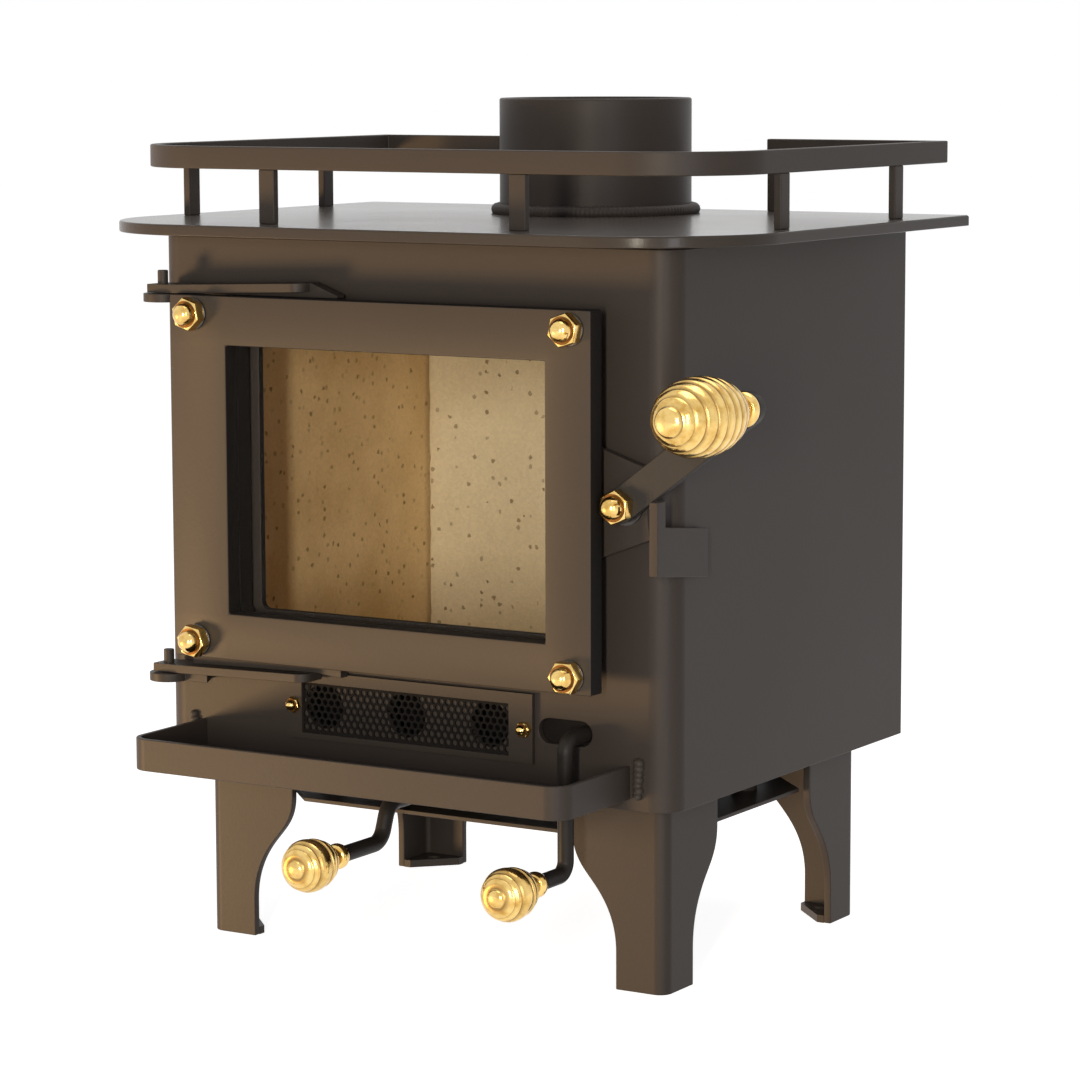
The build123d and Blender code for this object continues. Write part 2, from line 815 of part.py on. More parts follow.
def small_knob(x, foot, z):
    """A knob with a socket for the end of a rod."""
    return hive_knob(
        (x, foot, z),
        small_knob_radius,
        small_knob_widest,
        small_knob_halves,
        small_knob_tiers,
        small_knob_groove,
        small_knob_bead,
        small_knob_neck,
        small_knob_boss,
        (rod_radius + running_fit, knob_socket_depth + loose_gap),
    )


# Front knob: on the end of the front rod
front_knob = small_knob(front_rod_x, front_knob_foot, front_rod_low)
save(front_knob, "front_knob")

# Floor slider: a plate with three holes under the floor plate
floor_slider_top = body_bottom - loose_gap
floor_slider_bottom = floor_slider_top - slider_thickness
with BuildPart() as floor_slider:
    with BuildSketch(level(floor_slider_bottom)):
        with Locations((0, floor_travel / 2)):
            Rectangle(2 * floor_slider_half, floor_slider_depth)
        with Locations((0, floor_travel)):
            with GridLocations(floor_hole_pitch, 1, 3, 1):
                Circle(floor_hole_radius, mode=Mode.SUBTRACT)
    extrude(amount=slider_thickness)
save(floor_slider, "floor_slider")

# Floor guides: two Z strips under the floor plate
floor_guide_step = floor_slider_bottom - loose_gap
floor_guide_low = floor_guide_step - guide_thickness
with BuildPart() as floor_guides:
    with BuildSketch(Plane.XZ.offset(-floor_guide_length / 2)):
        for sign in (-1, 1):
            near = sign * (floor_slider_half + loose_gap)
            far = near + sign * guide_spacer
            lip = near - sign * guide_lip
            with BuildLine():
                Polyline(
                    (near, body_bottom),
                    (far, body_bottom),
                    (far, floor_guide_low),
                    (lip, floor_guide_low),
                    (lip, floor_guide_step),
                    (near, floor_guide_step),
                    close=True,
                )
            make_face()
    extrude(amount=floor_guide_length)
save(floor_guides, "floor_guides")

# Floor rod: welded under the floor slider, forwards and down below the lip
floor_rod_z = floor_slider_bottom - rod_radius
with BuildPart() as floor_rod:
    with BuildLine() as floor_path:
        FilletPolyline(
            (0, floor_travel, floor_rod_z),
            (0, floor_rod_drop_start, floor_rod_z),
            (0, floor_rod_drop_end, floor_rod_low),
            (0, floor_knob_foot - knob_socket_depth, floor_rod_low),
            radius=floor_bend_radius,
        )
    with BuildSketch(Plane.XZ.offset(-floor_travel)):
        with Locations((0, floor_rod_z)):
            Circle(rod_radius)
    sweep(path=floor_path.line)
save(floor_rod, "floor_rod")

# Floor knob: the same knob on the floor rod
floor_knob = small_knob(0, floor_knob_foot, floor_rod_low)
save(floor_knob, "floor_knob")

# Air cover: a plate with a window, and a rebate behind it for the mesh
mesh_middle = ((mesh_left + mesh_right) / 2, (mesh_bottom + mesh_top) / 2)
mesh_width = mesh_right - mesh_left
mesh_height = mesh_top - mesh_bottom
with BuildPart() as air_cover:
    with BuildSketch(front_plane(body_front)):
        cover_middle = ((cover_left + cover_right) / 2, (cover_bottom + cover_top) / 2)
        with Locations(cover_middle):
            Rectangle(cover_right - cover_left, cover_top - cover_bottom)
        with Locations([(x, air_height) for x in cover_nut_places]):
            Circle(small_thread_radius + running_fit, mode=Mode.SUBTRACT)
        with Locations(mesh_middle):
            Rectangle(mesh_width, mesh_height, mode=Mode.SUBTRACT)
    extrude(amount=cover_thickness)
    with BuildSketch(front_plane(body_front)):
        with Locations(mesh_middle):
            Rectangle(mesh_width + 2 * mesh_margin, mesh_height + 2 * mesh_margin)
    extrude(amount=mesh_thickness, mode=Mode.SUBTRACT)
save(air_cover, "air_cover")

# Air mesh: a perforated sheet held under the cover
with BuildPart() as air_mesh:
    with BuildSketch(front_plane(body_front)):
        with Locations(mesh_middle):
            Rectangle(
                mesh_width + 2 * (mesh_margin - mesh_play),
                mesh_height + 2 * (mesh_margin - mesh_play),
            )
            rows = int((mesh_height - 2 * mesh_hole_radius) / (mesh_pitch * sin(radians(60)))) + 1
            for row in range(rows):
                row_z = (row - (rows - 1) / 2) * mesh_pitch * sin(radians(60))
                columns = int((mesh_width - 2 * mesh_hole_radius) / mesh_pitch) + 1 - row % 2
                with Locations((0, row_z)):
                    with GridLocations(mesh_pitch, 1, columns, 1):
                        Circle(mesh_hole_radius, mode=Mode.SUBTRACT)
    extrude(amount=mesh_thickness)
save(air_mesh, "air_mesh")

# Air studs: two small studs on the front plate
with BuildPart() as air_studs:
    with BuildSketch(front_plane(body_front)):
        with Locations([(x, air_height) for x in cover_nut_places]):
            Circle(small_thread_radius)
    extrude(amount=cover_thickness + small_nut_hex + small_stud_reach)
save(air_studs, "air_studs")


def acorn_nuts(places, face, flats, hex_height, dome_radius, thread_radius):
    """Acorn nuts on an upright face: a hexagon, a short collar and a dome."""
    collar_height = 0.3 * dome_radius
    dome_face = face - hex_height - collar_height
    with BuildPart() as nuts:
        with BuildSketch(front_plane(face)):
            with Locations(places):
                RegularPolygon(flats / 2, 6, major_radius=False, rotation=30)
        extrude(amount=hex_height)
        with BuildSketch(front_plane(face - hex_height)):
            with Locations(places):
                Circle(dome_radius)
        extrude(amount=collar_height)
        for x, z in places:
            with BuildSketch(Plane(origin=(x, dome_face, z), x_dir=(1, 0, 0), z_dir=(0, 0, -1))):
                with BuildLine():
                    Line((0, 0), (dome_radius, 0))
                    RadiusArc((dome_radius, 0), (0, dome_radius), -dome_radius)
                    Line((0, dome_radius), (0, 0))
                make_face()
            revolve(axis=Axis((x, dome_face, z), (0, -1, 0)))
        with BuildSketch(front_plane(face)):
            with Locations(places):
                Circle(thread_radius + running_fit)
        extrude(amount=hex_height + 0.6 * dome_radius, mode=Mode.SUBTRACT)
    return nuts


# Air nuts: two small acorn nuts on the air cover
air_nuts = acorn_nuts(
    [(x, air_height) for x in cover_nut_places],
    body_front - cover_thickness,
    small_nut_flats,
    small_nut_hex,
    small_nut_dome,
    small_thread_radius,
)
save(air_nuts, "air_nuts")

# Door frame: a thick plate with a window and a rebate for the glass
with BuildPart() as door_frame:
    with BuildSketch(front_plane(door_rear)):
        with Locations(door_middle):
            RectangleRounded(door_width, door_height, door_corner_radius)
        with Locations(pane_middle):
            RectangleRounded(pane_width, pane_height, mouth_corner_radius, mode=Mode.SUBTRACT)
        with Locations(door_nut_places):
            Circle(large_thread_radius + loose_gap, mode=Mode.SUBTRACT)
    extrude(amount=door_thickness)
    with BuildSketch(front_plane(door_rear)):
        with Locations(pane_middle):
            Rectangle(pane_width + 2 * pane_overlap, pane_height + 2 * pane_overlap)
    extrude(amount=door_rear - glass_front, mode=Mode.SUBTRACT)
    front_face = door_frame.faces().sort_by(Axis.Y)[0]
    chamfer(front_face.outer_wire().edges(), door_edge_chamfer)
save(door_frame, "door_frame")

# Door glass: lies in the rebate of the frame
with BuildPart() as door_glass:
    with BuildSketch(front_plane(glass_rear)):
        with Locations(pane_middle):
            Rectangle(
                pane_width + 2 * (pane_overlap - loose_gap),
                pane_height + 2 * (pane_overlap - loose_gap),
            )
    extrude(amount=glass_thickness)
save(door_glass, "door_glass")

# Glass gasket: a flat tape between the glass and the back frame
with BuildPart() as glass_gasket:
    with BuildSketch(front_plane(door_rear)):
        with Locations(pane_middle):
            Rectangle(
                pane_width + 2 * (pane_overlap - loose_gap),
                pane_height + 2 * (pane_overlap - loose_gap),
            )
            Rectangle(
                pane_width + 2 * tape_setback, pane_height + 2 * tape_setback, mode=Mode.SUBTRACT
            )
    extrude(amount=door_rear - glass_rear)
save(glass_gasket, "glass_gasket")


def mouth_ring(outer, inner):
    """A ring round the window opening, between two distances from its edge."""
    for distance, mode in ((outer, Mode.ADD), (inner, Mode.SUBTRACT)):
        with Locations(mouth_middle):
            RectangleRounded(
                mouth_width + 2 * distance,
                mouth_height + 2 * distance,
                mouth_corner_radius + distance,
                mode=mode,
            )


# Back frame: holds the glass, with two walls that make the rope channel
with BuildPart() as door_back_frame:
    with BuildSketch(front_plane(back_frame_rear)):
        with Locations(door_middle):
            Rectangle(door_width - 2 * back_frame_inset, door_height - 2 * back_frame_inset)
        with Locations(pane_middle):
            RectangleRounded(pane_width, pane_height, mouth_corner_radius, mode=Mode.SUBTRACT)
    extrude(amount=back_frame_thickness)
    with BuildSketch(front_plane(channel_rear)):
        mouth_ring(channel_inner + channel_wall, channel_inner)
    extrude(amount=channel_rear - back_frame_rear)
    with BuildSketch(front_plane(channel_rear)):
        mouth_ring(channel_outer + channel_wall, channel_outer)
    extrude(amount=channel_rear - back_frame_rear)
save(door_back_frame, "door_back_frame")

# Door rope: the seal in the channel, pressed towards the body
with BuildPart() as door_rope:
    with BuildSketch(front_plane(rope_rear)):
        mouth_ring(channel_outer - rope_play, channel_inner + channel_wall + rope_play)
    extrude(amount=rope_rear - back_frame_rear)
    fillet(door_rope.faces().sort_by(Axis.Y)[-1].edges(), rope_round)
save(door_rope, "door_rope")

# Door studs: four studs that stand on the back frame
with BuildPart() as door_studs:
    with BuildSketch(front_plane(door_rear)):
        with Locations(door_nut_places):
            Circle(large_thread_radius)
    extrude(amount=door_thickness + large_washer_thickness + large_nut_hex + large_stud_reach)
save(door_studs, "door_studs")

# Door washers: one flat washer under each nut
with BuildPart() as door_washers:
    with BuildSketch(front_plane(door_front)):
        with Locations(door_nut_places):
            Circle(large_washer_radius)
            Circle(large_thread_radius + loose_gap, mode=Mode.SUBTRACT)
    extrude(amount=large_washer_thickness)
save(door_washers, "door_washers")

# Door nuts: four acorn nuts that clamp the door together
door_nuts = acorn_nuts(
    door_nut_places,
    door_front - large_washer_thickness,
    large_nut_flats,
    large_nut_hex,
    large_nut_dome,
    large_thread_radius,
)
save(door_nuts, "door_nuts")


def hinge_leaf(bottom, lift, door_edge, nose_tip):
    """A leaf that rises a little towards its nose, on a spacer set back in shadow."""
    far_bottom = bottom + lift
    far_top = far_bottom + leaf_thickness
    with BuildPart() as leaf:
        with BuildSketch(front_plane(leaf_rear)):
            with BuildLine():
                Polyline(
                    (leaf_left, bottom),
                    (leaf_slope_start, bottom),
                    (leaf_nose_start, far_bottom),
                    (leaf_nose_start, far_top),
                    (leaf_slope_start, bottom + leaf_thickness),
                    (leaf_left, bottom + leaf_thickness),
                    close=True,
                )
            make_face()
        extrude(amount=leaf_rear - leaf_front)
        tip_edges = leaf.edges().filter_by(Axis.Z).group_by(Axis.X)[-1]
        fillet(tip_edges.sort_by(Axis.Y)[0], leaf_tip_radius)
        with BuildSketch(front_plane(leaf_rear)):
            with BuildLine():
                Polyline(
                    (door_left + leaf_spacer_inset, door_edge),
                    (door_left + leaf_spacer_inset, bottom + leaf_spacer_inset),
                    (leaf_nose_start, far_bottom + leaf_spacer_inset),
                    (leaf_nose_start, far_top),
                    (leaf_nose_end, nose_tip),
                    (leaf_nose_end, door_edge),
                    close=True,
                )
            make_face()
        extrude(amount=leaf_rear - leaf_spacer_front)
        with BuildSketch(level(bottom)):
            with Locations((hinge_x, hinge_y)):
                Circle(pin_radius + running_fit)
        extrude(amount=leaf_thickness, mode=Mode.SUBTRACT)
    return leaf


# Upper hinge leaf: lies on the top edge of the door
hinge_leaf_upper = hinge_leaf(upper_leaf_bottom, upper_leaf_lift, door_top, upper_nose_tip)
save(hinge_leaf_upper, "hinge_leaf_upper")

# Lower hinge leaf: hangs below the bottom edge of the door
hinge_leaf_lower = hinge_leaf(lower_leaf_bottom, lower_leaf_lift, door_bottom, lower_nose_tip)
save(hinge_leaf_lower, "hinge_leaf_lower")


def hinge_bracket(top, right_front, right_rear):
    """A plate on the corner of the body, with a round eye for the pin."""
    with BuildPart() as bracket:
        with BuildSketch(level(top - bracket_thickness)):
            with BuildLine():
                Polyline(
                    (hinge_x - bracket_eye_radius, hinge_y),
                    (hinge_x - bracket_eye_radius, inner_front),
                    (right_rear, inner_front),
                    (right_rear, body_front),
                    (right_front, hinge_y),
                    close=True,
                )
            make_face()
            with Locations((hinge_x, hinge_y)):
                Circle(bracket_eye_radius)
                Circle(pin_radius + running_fit, mode=Mode.SUBTRACT)
        extrude(amount=bracket_thickness)
        with BuildSketch(level(top - bracket_thickness)) as body_plan:
            with Locations((0, body_front)):
                Rectangle(body_width, body_depth, align=(Align.CENTER, Align.MIN))
            fillet(body_plan.vertices().group_by(Axis.Y)[0], body_corner_radius)
        extrude(amount=bracket_thickness, mode=Mode.SUBTRACT)
    return bracket


# Upper hinge bracket: beside the door, under the upper leaf
hinge_bracket_upper = hinge_bracket(
    upper_leaf_bottom - loose_gap, upper_bracket_right, upper_bracket_right
)
save(hinge_bracket_upper, "hinge_bracket_upper")

# Lower hinge bracket: reaches further right because the door is above it
hinge_bracket_lower = hinge_bracket(
    lower_leaf_bottom - loose_gap, lower_bracket_right_front, lower_bracket_right_rear
)
save(hinge_bracket_lower, "hinge_bracket_lower")

# Hinge pins: welded flush into the brackets, standing up through the leaves
with BuildPart() as hinge_pins:
    for leaf_bottom in (lower_leaf_bottom, upper_leaf_bottom):
        bracket_bottom = leaf_bottom - loose_gap - bracket_thickness
        pin_top = leaf_bottom + leaf_thickness + pin_stand
        with BuildSketch(level(bracket_bottom)):
            with Locations((hinge_x, hinge_y)):
                Circle(pin_radius)
        extrude(amount=pin_top - bracket_bottom)
save(hinge_pins, "hinge_pins")

# Latch bracket: a plate on the side of the rope channel
with BuildPart() as latch_bracket:
    with BuildSketch(front_plane(latch_bracket_rear)):
        with BuildLine():
            Polyline(
                (bracket_left, bracket_top),
                bracket_upper_corner,
                bracket_lower_corner,
                (bracket_left, bracket_low),
                close=True,
            )
        make_face()
        with Locations((latch_x, latch_z)):
            Circle(large_thread_radius + running_fit, mode=Mode.SUBTRACT)
    extrude(amount=latch_bracket_rear - latch_bracket_front)
save(latch_bracket, "latch_bracket")

# Latch stud: the pivot of the lever
latch_nut_face = lever_front - loose_gap
with BuildPart() as latch_stud:
    with BuildSketch(front_plane(latch_bracket_rear)):
        with Locations((latch_x, latch_z)):
            Circle(large_thread_radius)
    extrude(amount=latch_bracket_rear - latch_nut_face + large_nut_hex + large_stud_reach)
    with BuildSketch(front_plane(latch_bracket_rear + latch_stud_head_height)):
        with Locations((latch_x, latch_z)):
            Circle(latch_stud_head_radius)
    extrude(amount=latch_stud_head_height)
save(latch_stud, "latch_stud")

# Latch washer: a steel washer between bracket and lever
with BuildPart() as latch_washer:
    with BuildSketch(front_plane(latch_bracket_front)):
        with Locations((latch_x, latch_z)):
            Circle(latch_washer_radius)
            Circle(large_thread_radius + loose_gap, mode=Mode.SUBTRACT)
    extrude(amount=large_washer_thickness)
save(latch_washer, "latch_washer")

# Latch nut: the acorn nut in front of the lever
latch_nut = acorn_nuts(
    [(latch_x, latch_z)],
    latch_nut_face,
    large_nut_flats,
    large_nut_hex,
    large_nut_dome,
    large_thread_radius,
)
save(latch_nut, "latch_nut")

# Latch lever: a flat bar with round ends, up to the right
lever_middle = ((latch_x + knob_x) / 2, (latch_z + knob_z) / 2)
with BuildPart() as latch_lever:
    with BuildSketch(front_plane(lever_rear)):
        with Locations(lever_middle):
            SlotOverall(lever_length + lever_width, lever_width, rotation=lever_angle)
        with Locations((latch_x, latch_z)):
            Circle(large_thread_radius + running_fit, mode=Mode.SUBTRACT)
        with Locations((knob_x, knob_z)):
            Circle(knob_screw_radius + running_fit, mode=Mode.SUBTRACT)
    extrude(amount=lever_thickness)
save(latch_lever, "latch_lever")

# Latch knob: the same kind of knob, larger, with a screw hole
latch_knob = hive_knob(
    (knob_x, lever_front, knob_z),
    latch_knob_radius,
    latch_knob_widest,
    latch_knob_halves,
    latch_knob_tiers,
    latch_knob_groove,
    latch_knob_bead,
    latch_knob_neck,
    latch_knob_boss,
    (knob_screw_radius + running_fit, knob_screw_depth + loose_gap),
)
save(latch_knob, "latch_knob")

# Knob screw: holds the knob from behind the lever
with BuildPart() as knob_screw:
    with BuildSketch(front_plane(lever_rear + knob_screw_head_height)):
        with Locations((knob_x, knob_z)):
            Circle(knob_screw_head_radius)
    extrude(amount=knob_screw_head_height)
    with BuildSketch(front_plane(lever_rear)):
        with Locations((knob_x, knob_z)):
            Circle(knob_screw_radius)
    extrude(amount=lever_thickness + knob_screw_depth)
save(knob_screw, "knob_screw")

# Catch plate: on the right side, with the prong that the lever drops behind
with BuildPart() as catch_plate:
    with BuildSketch(Plane.YZ.offset(catch_left)):
        with BuildLine():
            Polyline(
                (catch_front, catch_low_front),
                (catch_rear, catch_low_rear),
                (catch_rear, catch_top_rear),
                (catch_prong_rear, catch_prong_root),
                (catch_prong_rear, catch_prong_top),
                (catch_front, catch_prong_top),
                close=True,
            )
        make_face()
    extrude(amount=catch_thickness)
save(catch_plate, "catch_plate")
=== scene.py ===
# %% [markdown]
# # A small wood burner
# The stove's plates, hinges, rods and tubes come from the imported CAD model, the frame.
# This notebook gives each of them its finish, rounds the edges that a torch or a press
# leaves round, and adds what a drawing leaves out: turned grooves in the brass, weld
# beads, a braided door rope and worn edges on the fire boards.

# %% Load the frame
import json
from math import cos, pi, radians, sin, sqrt

import bmesh
import bpy
from mathutils import Matrix, Vector, noise


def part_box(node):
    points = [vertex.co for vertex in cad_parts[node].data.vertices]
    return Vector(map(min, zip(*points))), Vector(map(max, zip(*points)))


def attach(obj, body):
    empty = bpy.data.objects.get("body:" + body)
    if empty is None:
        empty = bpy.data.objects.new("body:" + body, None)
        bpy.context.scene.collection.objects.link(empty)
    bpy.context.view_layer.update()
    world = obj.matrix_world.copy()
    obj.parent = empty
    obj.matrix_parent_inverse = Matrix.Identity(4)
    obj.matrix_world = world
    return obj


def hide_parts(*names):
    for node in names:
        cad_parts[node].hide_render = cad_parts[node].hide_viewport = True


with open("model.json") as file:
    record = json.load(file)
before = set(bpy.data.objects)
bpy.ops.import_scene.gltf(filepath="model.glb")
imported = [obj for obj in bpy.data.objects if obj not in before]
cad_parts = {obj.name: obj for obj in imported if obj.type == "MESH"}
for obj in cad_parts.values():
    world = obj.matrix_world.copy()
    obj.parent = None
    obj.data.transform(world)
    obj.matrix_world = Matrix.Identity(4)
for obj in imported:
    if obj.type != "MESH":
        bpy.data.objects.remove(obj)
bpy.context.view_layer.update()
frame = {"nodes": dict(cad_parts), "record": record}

mm = 0.001
body_of_node = {
    node: body for body, nodes in frame["record"]["behaviour"]["bodies"].items() for node in nodes
}

# %% [markdown]
# ## Camera
# The camera stands to the right of the stove and a little above the hotplate, about
# 1.4 m away with a long lens, so the verticals stay nearly parallel.

# %% Place the camera
scene = bpy.context.scene
camera = bpy.data.objects.new("camera", bpy.data.cameras.new("camera"))
camera.location = (750.4 * mm, -1221.3 * mm, 343.0 * mm)
camera.rotation_euler = (radians(82.436), radians(0.169), radians(31.461))
camera.data.lens = 123.1
camera.data.sensor_width = 36.0
camera.data.clip_start = 0.05
scene.collection.objects.link(camera)
scene.camera = camera
print("camera lens:", camera.data.lens)

# %% [markdown]
# ## Material tools
# Materials are wired by small helpers, so that each finish below reads as a short list.
# A socket is written (node, name). A Mix node has several sockets of the same name, one
# for each kind of value, so its colour sockets are written by their places instead.

# %% Helpers for node trees
mix_a = 6
mix_b = 7
mix_result = 2


def new_material(name):
    """An empty material with a Principled shader wired to its output."""
    material = bpy.data.materials.new(name)
    material.use_nodes = True
    tree = material.node_tree
    tree.nodes.clear()
    output = tree.nodes.new("ShaderNodeOutputMaterial")
    shader = tree.nodes.new("ShaderNodeBsdfPrincipled")
    tree.links.new(shader.outputs["BSDF"], output.inputs["Surface"])
    return material, tree, shader


def node(tree, kind, **values):
    """A node with its sockets and properties set by name."""
    made = tree.nodes.new("ShaderNode" + kind)
    for key, value in values.items():
        if hasattr(made, key):
            setattr(made, key, value)
        else:
            made.inputs[key.replace("_", " ")].default_value = value
    return made


def join(tree, source, target):
    """A link between two sockets."""
    tree.links.new(source[0].outputs[source[1]], target[0].inputs[target[1]])


def math_node(tree, operation, *values):
    """A Math node; each value is a number or a socket."""
    made = tree.nodes.new("ShaderNodeMath")
    made.operation = operation
    for index, value in enumerate(values):
        if isinstance(value, tuple):
            join(tree, value, (made, index))
        else:
            made.inputs[index].default_value = value
    return made


def two_tones(tree, first, second, first_at=0.0, second_at=1.0):
    """A colour ramp from one tone to another, each at its place."""
    ramp = node(tree, "ValToRGB")
    start, end = ramp.color_ramp.elements
    start.position = first_at
    start.color = first + (1.0,)
    end.position = second_at
    end.color = second + (1.0,)
    return ramp


def viewer_mask(tree):
    """One for rays from the camera, off a shiny face or through glass, and zero for others."""
    path = node(tree, "LightPath")
    straight_or_shiny = math_node(tree, "MAXIMUM", (path, "Is Camera Ray"), (path, "Is Glossy Ray"))
    return math_node(tree, "MAXIMUM", (straight_or_shiny, "Value"), (path, "Is Transmission Ray"))


# %% Helpers for node groups
def new_group(name, inputs, outputs):
    """A node group with named inputs (name, kind, default) and outputs (name, kind)."""
    tree = bpy.data.node_groups.new(name, "ShaderNodeTree")
    for label, kind, default in inputs:
        socket = tree.interface.new_socket(label, in_out="INPUT", socket_type="NodeSocket" + kind)
        socket.default_value = default
    for label, kind in outputs:
        tree.interface.new_socket(label, in_out="OUTPUT", socket_type="NodeSocket" + kind)
    return tree, tree.nodes.new("NodeGroupInput"), tree.nodes.new("NodeGroupOutput")


def use_group(tree, group, **values):
    """An instance of a node group, with its own values."""
    made = tree.nodes.new("ShaderNodeGroup")
    made.node_tree = group
    for key, value in values.items():
        made.inputs[key.replace("_", " ")].default_value = value
    return made


# %% [markdown]
# ## Studio
# In the photo the warm light comes from the front left and from below the door, as it
# does when a sunlit table throws light upwards: the shadows of the ash lip and of the
# door rise to the right. The key lamp therefore stands under the level of the floor,
# and the floor sheet casts no shadow. The surround is white where the camera, the glass
# or the brass looks at it, and dimmer and cooler as a light, which keeps dark paint dark.

# %% Surround
scene.view_settings.view_transform = "Standard"
world = bpy.data.worlds.new("surround")
scene.world = world
world.use_nodes = True
tree = world.node_tree
tree.nodes.clear()
world_output = node(tree, "OutputWorld")
seen = node(tree, "Background", Color=(1.0, 1.0, 1.0, 1.0), Strength=1.0)
fill = node(tree, "Background", Color=(0.90, 0.86, 1.0, 1.0), Strength=0.13)
surround = node(tree, "MixShader")
join(tree, (viewer_mask(tree), "Value"), (surround, "Fac"))
join(tree, (fill, "Background"), (surround, 1))
join(tree, (seen, "Background"), (surround, 2))
join(tree, (surround, "Shader"), (world_output, "Surface"))
print("surround:", world.name)

# %% [markdown]
# The floor takes the stove's shadow. A part of its whiteness is only for the camera and
# for reflections, so that it doesn't light the stove from below.

# %% Floor
floor_mesh = bpy.data.meshes.new("floor")
bm = bmesh.new()
bmesh.ops.create_grid(bm, x_segments=1, y_segments=1, size=6.0)
bm.to_mesh(floor_mesh)
bm.free()
floor = bpy.data.objects.new("floor", floor_mesh)
floor.visible_shadow = False
scene.collection.objects.link(floor)

floor_paper, tree, shader = new_material("floor_paper")
shader.inputs["Base Color"].default_value = (0.85, 0.85, 0.85, 1.0)
shader.inputs["Roughness"].default_value = 0.9
shader.inputs["Specular IOR Level"].default_value = 0.0
shader.inputs["Emission Color"].default_value = (1.0, 1.0, 1.0, 1.0)
glow = math_node(tree, "MULTIPLY", (viewer_mask(tree), "Value"), 0.92)
join(tree, (glow, "Value"), (shader, "Emission Strength"))
floor_mesh.materials.append(floor_paper)
print("floor:", floor_paper.name)

# %% [markdown]
# The front lamp stands behind the camera and a little to its left, and it also lights
# the fire boards through the window. The top lamp lights the hotplate. The gleam lamp
# makes highlights on round parts and lights nothing else.


# %% Lamps
def lamp(name, place, aim, size, watts, colour):
    """A rectangular area lamp at a place, pointed at an aim."""
    data = bpy.data.lights.new(name, "AREA")
    data.shape = "RECTANGLE"
    data.size, data.size_y = size
    data.energy = watts
    data.color = colour
    lamp_object = bpy.data.objects.new(name, data)
    lamp_object.location = place
    direction = Vector(aim) - Vector(place)
    lamp_object.rotation_euler = direction.to_track_quat("-Z", "Y").to_euler()
    scene.collection.objects.link(lamp_object)
    return lamp_object


key = lamp(
    "key",
    place=(-1.08, -1.04, -0.24),
    aim=(0.0, -0.1, 0.2),
    size=(0.33, 0.33),
    watts=21.0,
    colour=(1.0, 0.63, 0.28),
)
front = lamp(
    "front",
    place=(0.743, -1.73, 0.355),
    aim=(0.0, -0.1, 0.183),
    size=(0.10, 0.55),
    watts=16.0,
    colour=(1.0, 0.90, 0.74),
)
gleam = lamp(
    "gleam",
    place=(1.35, -1.15, 0.30),
    aim=(0.11, -0.08, 0.18),
    size=(0.14, 1.2),
    watts=9.0,
    colour=(0.90, 0.92, 1.0),
)
gleam.visible_diffuse = False
top = lamp(
    "top",
    place=(0.2, 0.3, 1.9),
    aim=(0.0, 0.0, 0.28),
    size=(1.2, 1.2),
    watts=9.0,
    colour=(1.0, 0.93, 0.86),
)
print("lamps:", [made.name for made in (key, front, gleam, top)])

# %% [markdown]
# ## Shared effects
# Several finishes share the same small irregularities. Each is a node group that gives
# out only colours, masks and heights: sprayed grain for the paint, turned lines for the
# metal, and dust that settles on what faces up.

# %% Sprayed grain
grain, grain_in, grain_out = new_group(
    "sprayed_grain",
    [
        ("Dark", "Color", (0.08, 0.07, 0.06, 1.0)),
        ("Light", "Color", (0.14, 0.12, 0.10, 1.0)),
        ("Grain Scale", "Float", 1400.0),
        ("Cloud Scale", "Float", 9.0),
        ("Roughness", "Float", 0.5),
    ],
    [("Color", "Color"), ("Roughness", "Float"), ("Height", "Float")],
)
place = node(grain, "TexCoord")
clouds = node(grain, "TexNoise", Detail=3.0)
specks = node(grain, "TexNoise", Detail=2.0, Roughness=0.7)
pits = node(grain, "TexVoronoi")
for texture in (clouds, specks, pits):
    join(grain, (place, "Object"), (texture, "Vector"))
pit_scale = math_node(grain, "MULTIPLY", (grain_in, "Grain Scale"), 0.45)
join(grain, (grain_in, "Cloud Scale"), (clouds, "Scale"))
join(grain, (grain_in, "Grain Scale"), (specks, "Scale"))
join(grain, (pit_scale, "Value"), (pits, "Scale"))
speck_part = math_node(grain, "MULTIPLY", (specks, "Fac"), 0.45)
cloud_part = math_node(grain, "MULTIPLY", (clouds, "Fac"), 0.55)
blend = math_node(grain, "ADD", (speck_part, "Value"), (cloud_part, "Value"))
tint = node(grain, "Mix", data_type="RGBA")
join(grain, (blend, "Value"), (tint, "Factor"))
join(grain, (grain_in, "Dark"), (tint, mix_a))
join(grain, (grain_in, "Light"), (tint, mix_b))
join(grain, (tint, mix_result), (grain_out, "Color"))
cloudy_rough = math_node(grain, "MULTIPLY_ADD", (clouds, "Fac"), 0.12, (grain_in, "Roughness"))
join(grain, (cloudy_rough, "Value"), (grain_out, "Roughness"))
pit_part = math_node(grain, "MULTIPLY", (pits, "Distance"), 0.5)
height = math_node(grain, "ADD", (specks, "Fac"), (pit_part, "Value"))
join(grain, (height, "Value"), (grain_out, "Height"))
print("group:", grain.name)

# %% Turned lines
turned, turned_in, turned_out = new_group(
    "turned_lines",
    [("Line Scale", "Float", 900.0), ("Tarnish Scale", "Float", 60.0)],
    [("Line Height", "Float"), ("Tarnish", "Float")],
)
place = node(turned, "TexCoord")
lines = node(turned, "TexWave", wave_type="BANDS", bands_direction="Y", Distortion=0.6, Detail=2.0)
spots = node(turned, "TexNoise", Detail=4.0, Roughness=0.6)
for texture in (lines, spots):
    join(turned, (place, "Object"), (texture, "Vector"))
join(turned, (turned_in, "Line Scale"), (lines, "Scale"))
join(turned, (turned_in, "Tarnish Scale"), (spots, "Scale"))
join(turned, (lines, "Fac"), (turned_out, "Line Height"))
join(turned, (spots, "Fac"), (turned_out, "Tarnish"))
print("group:", turned.name)

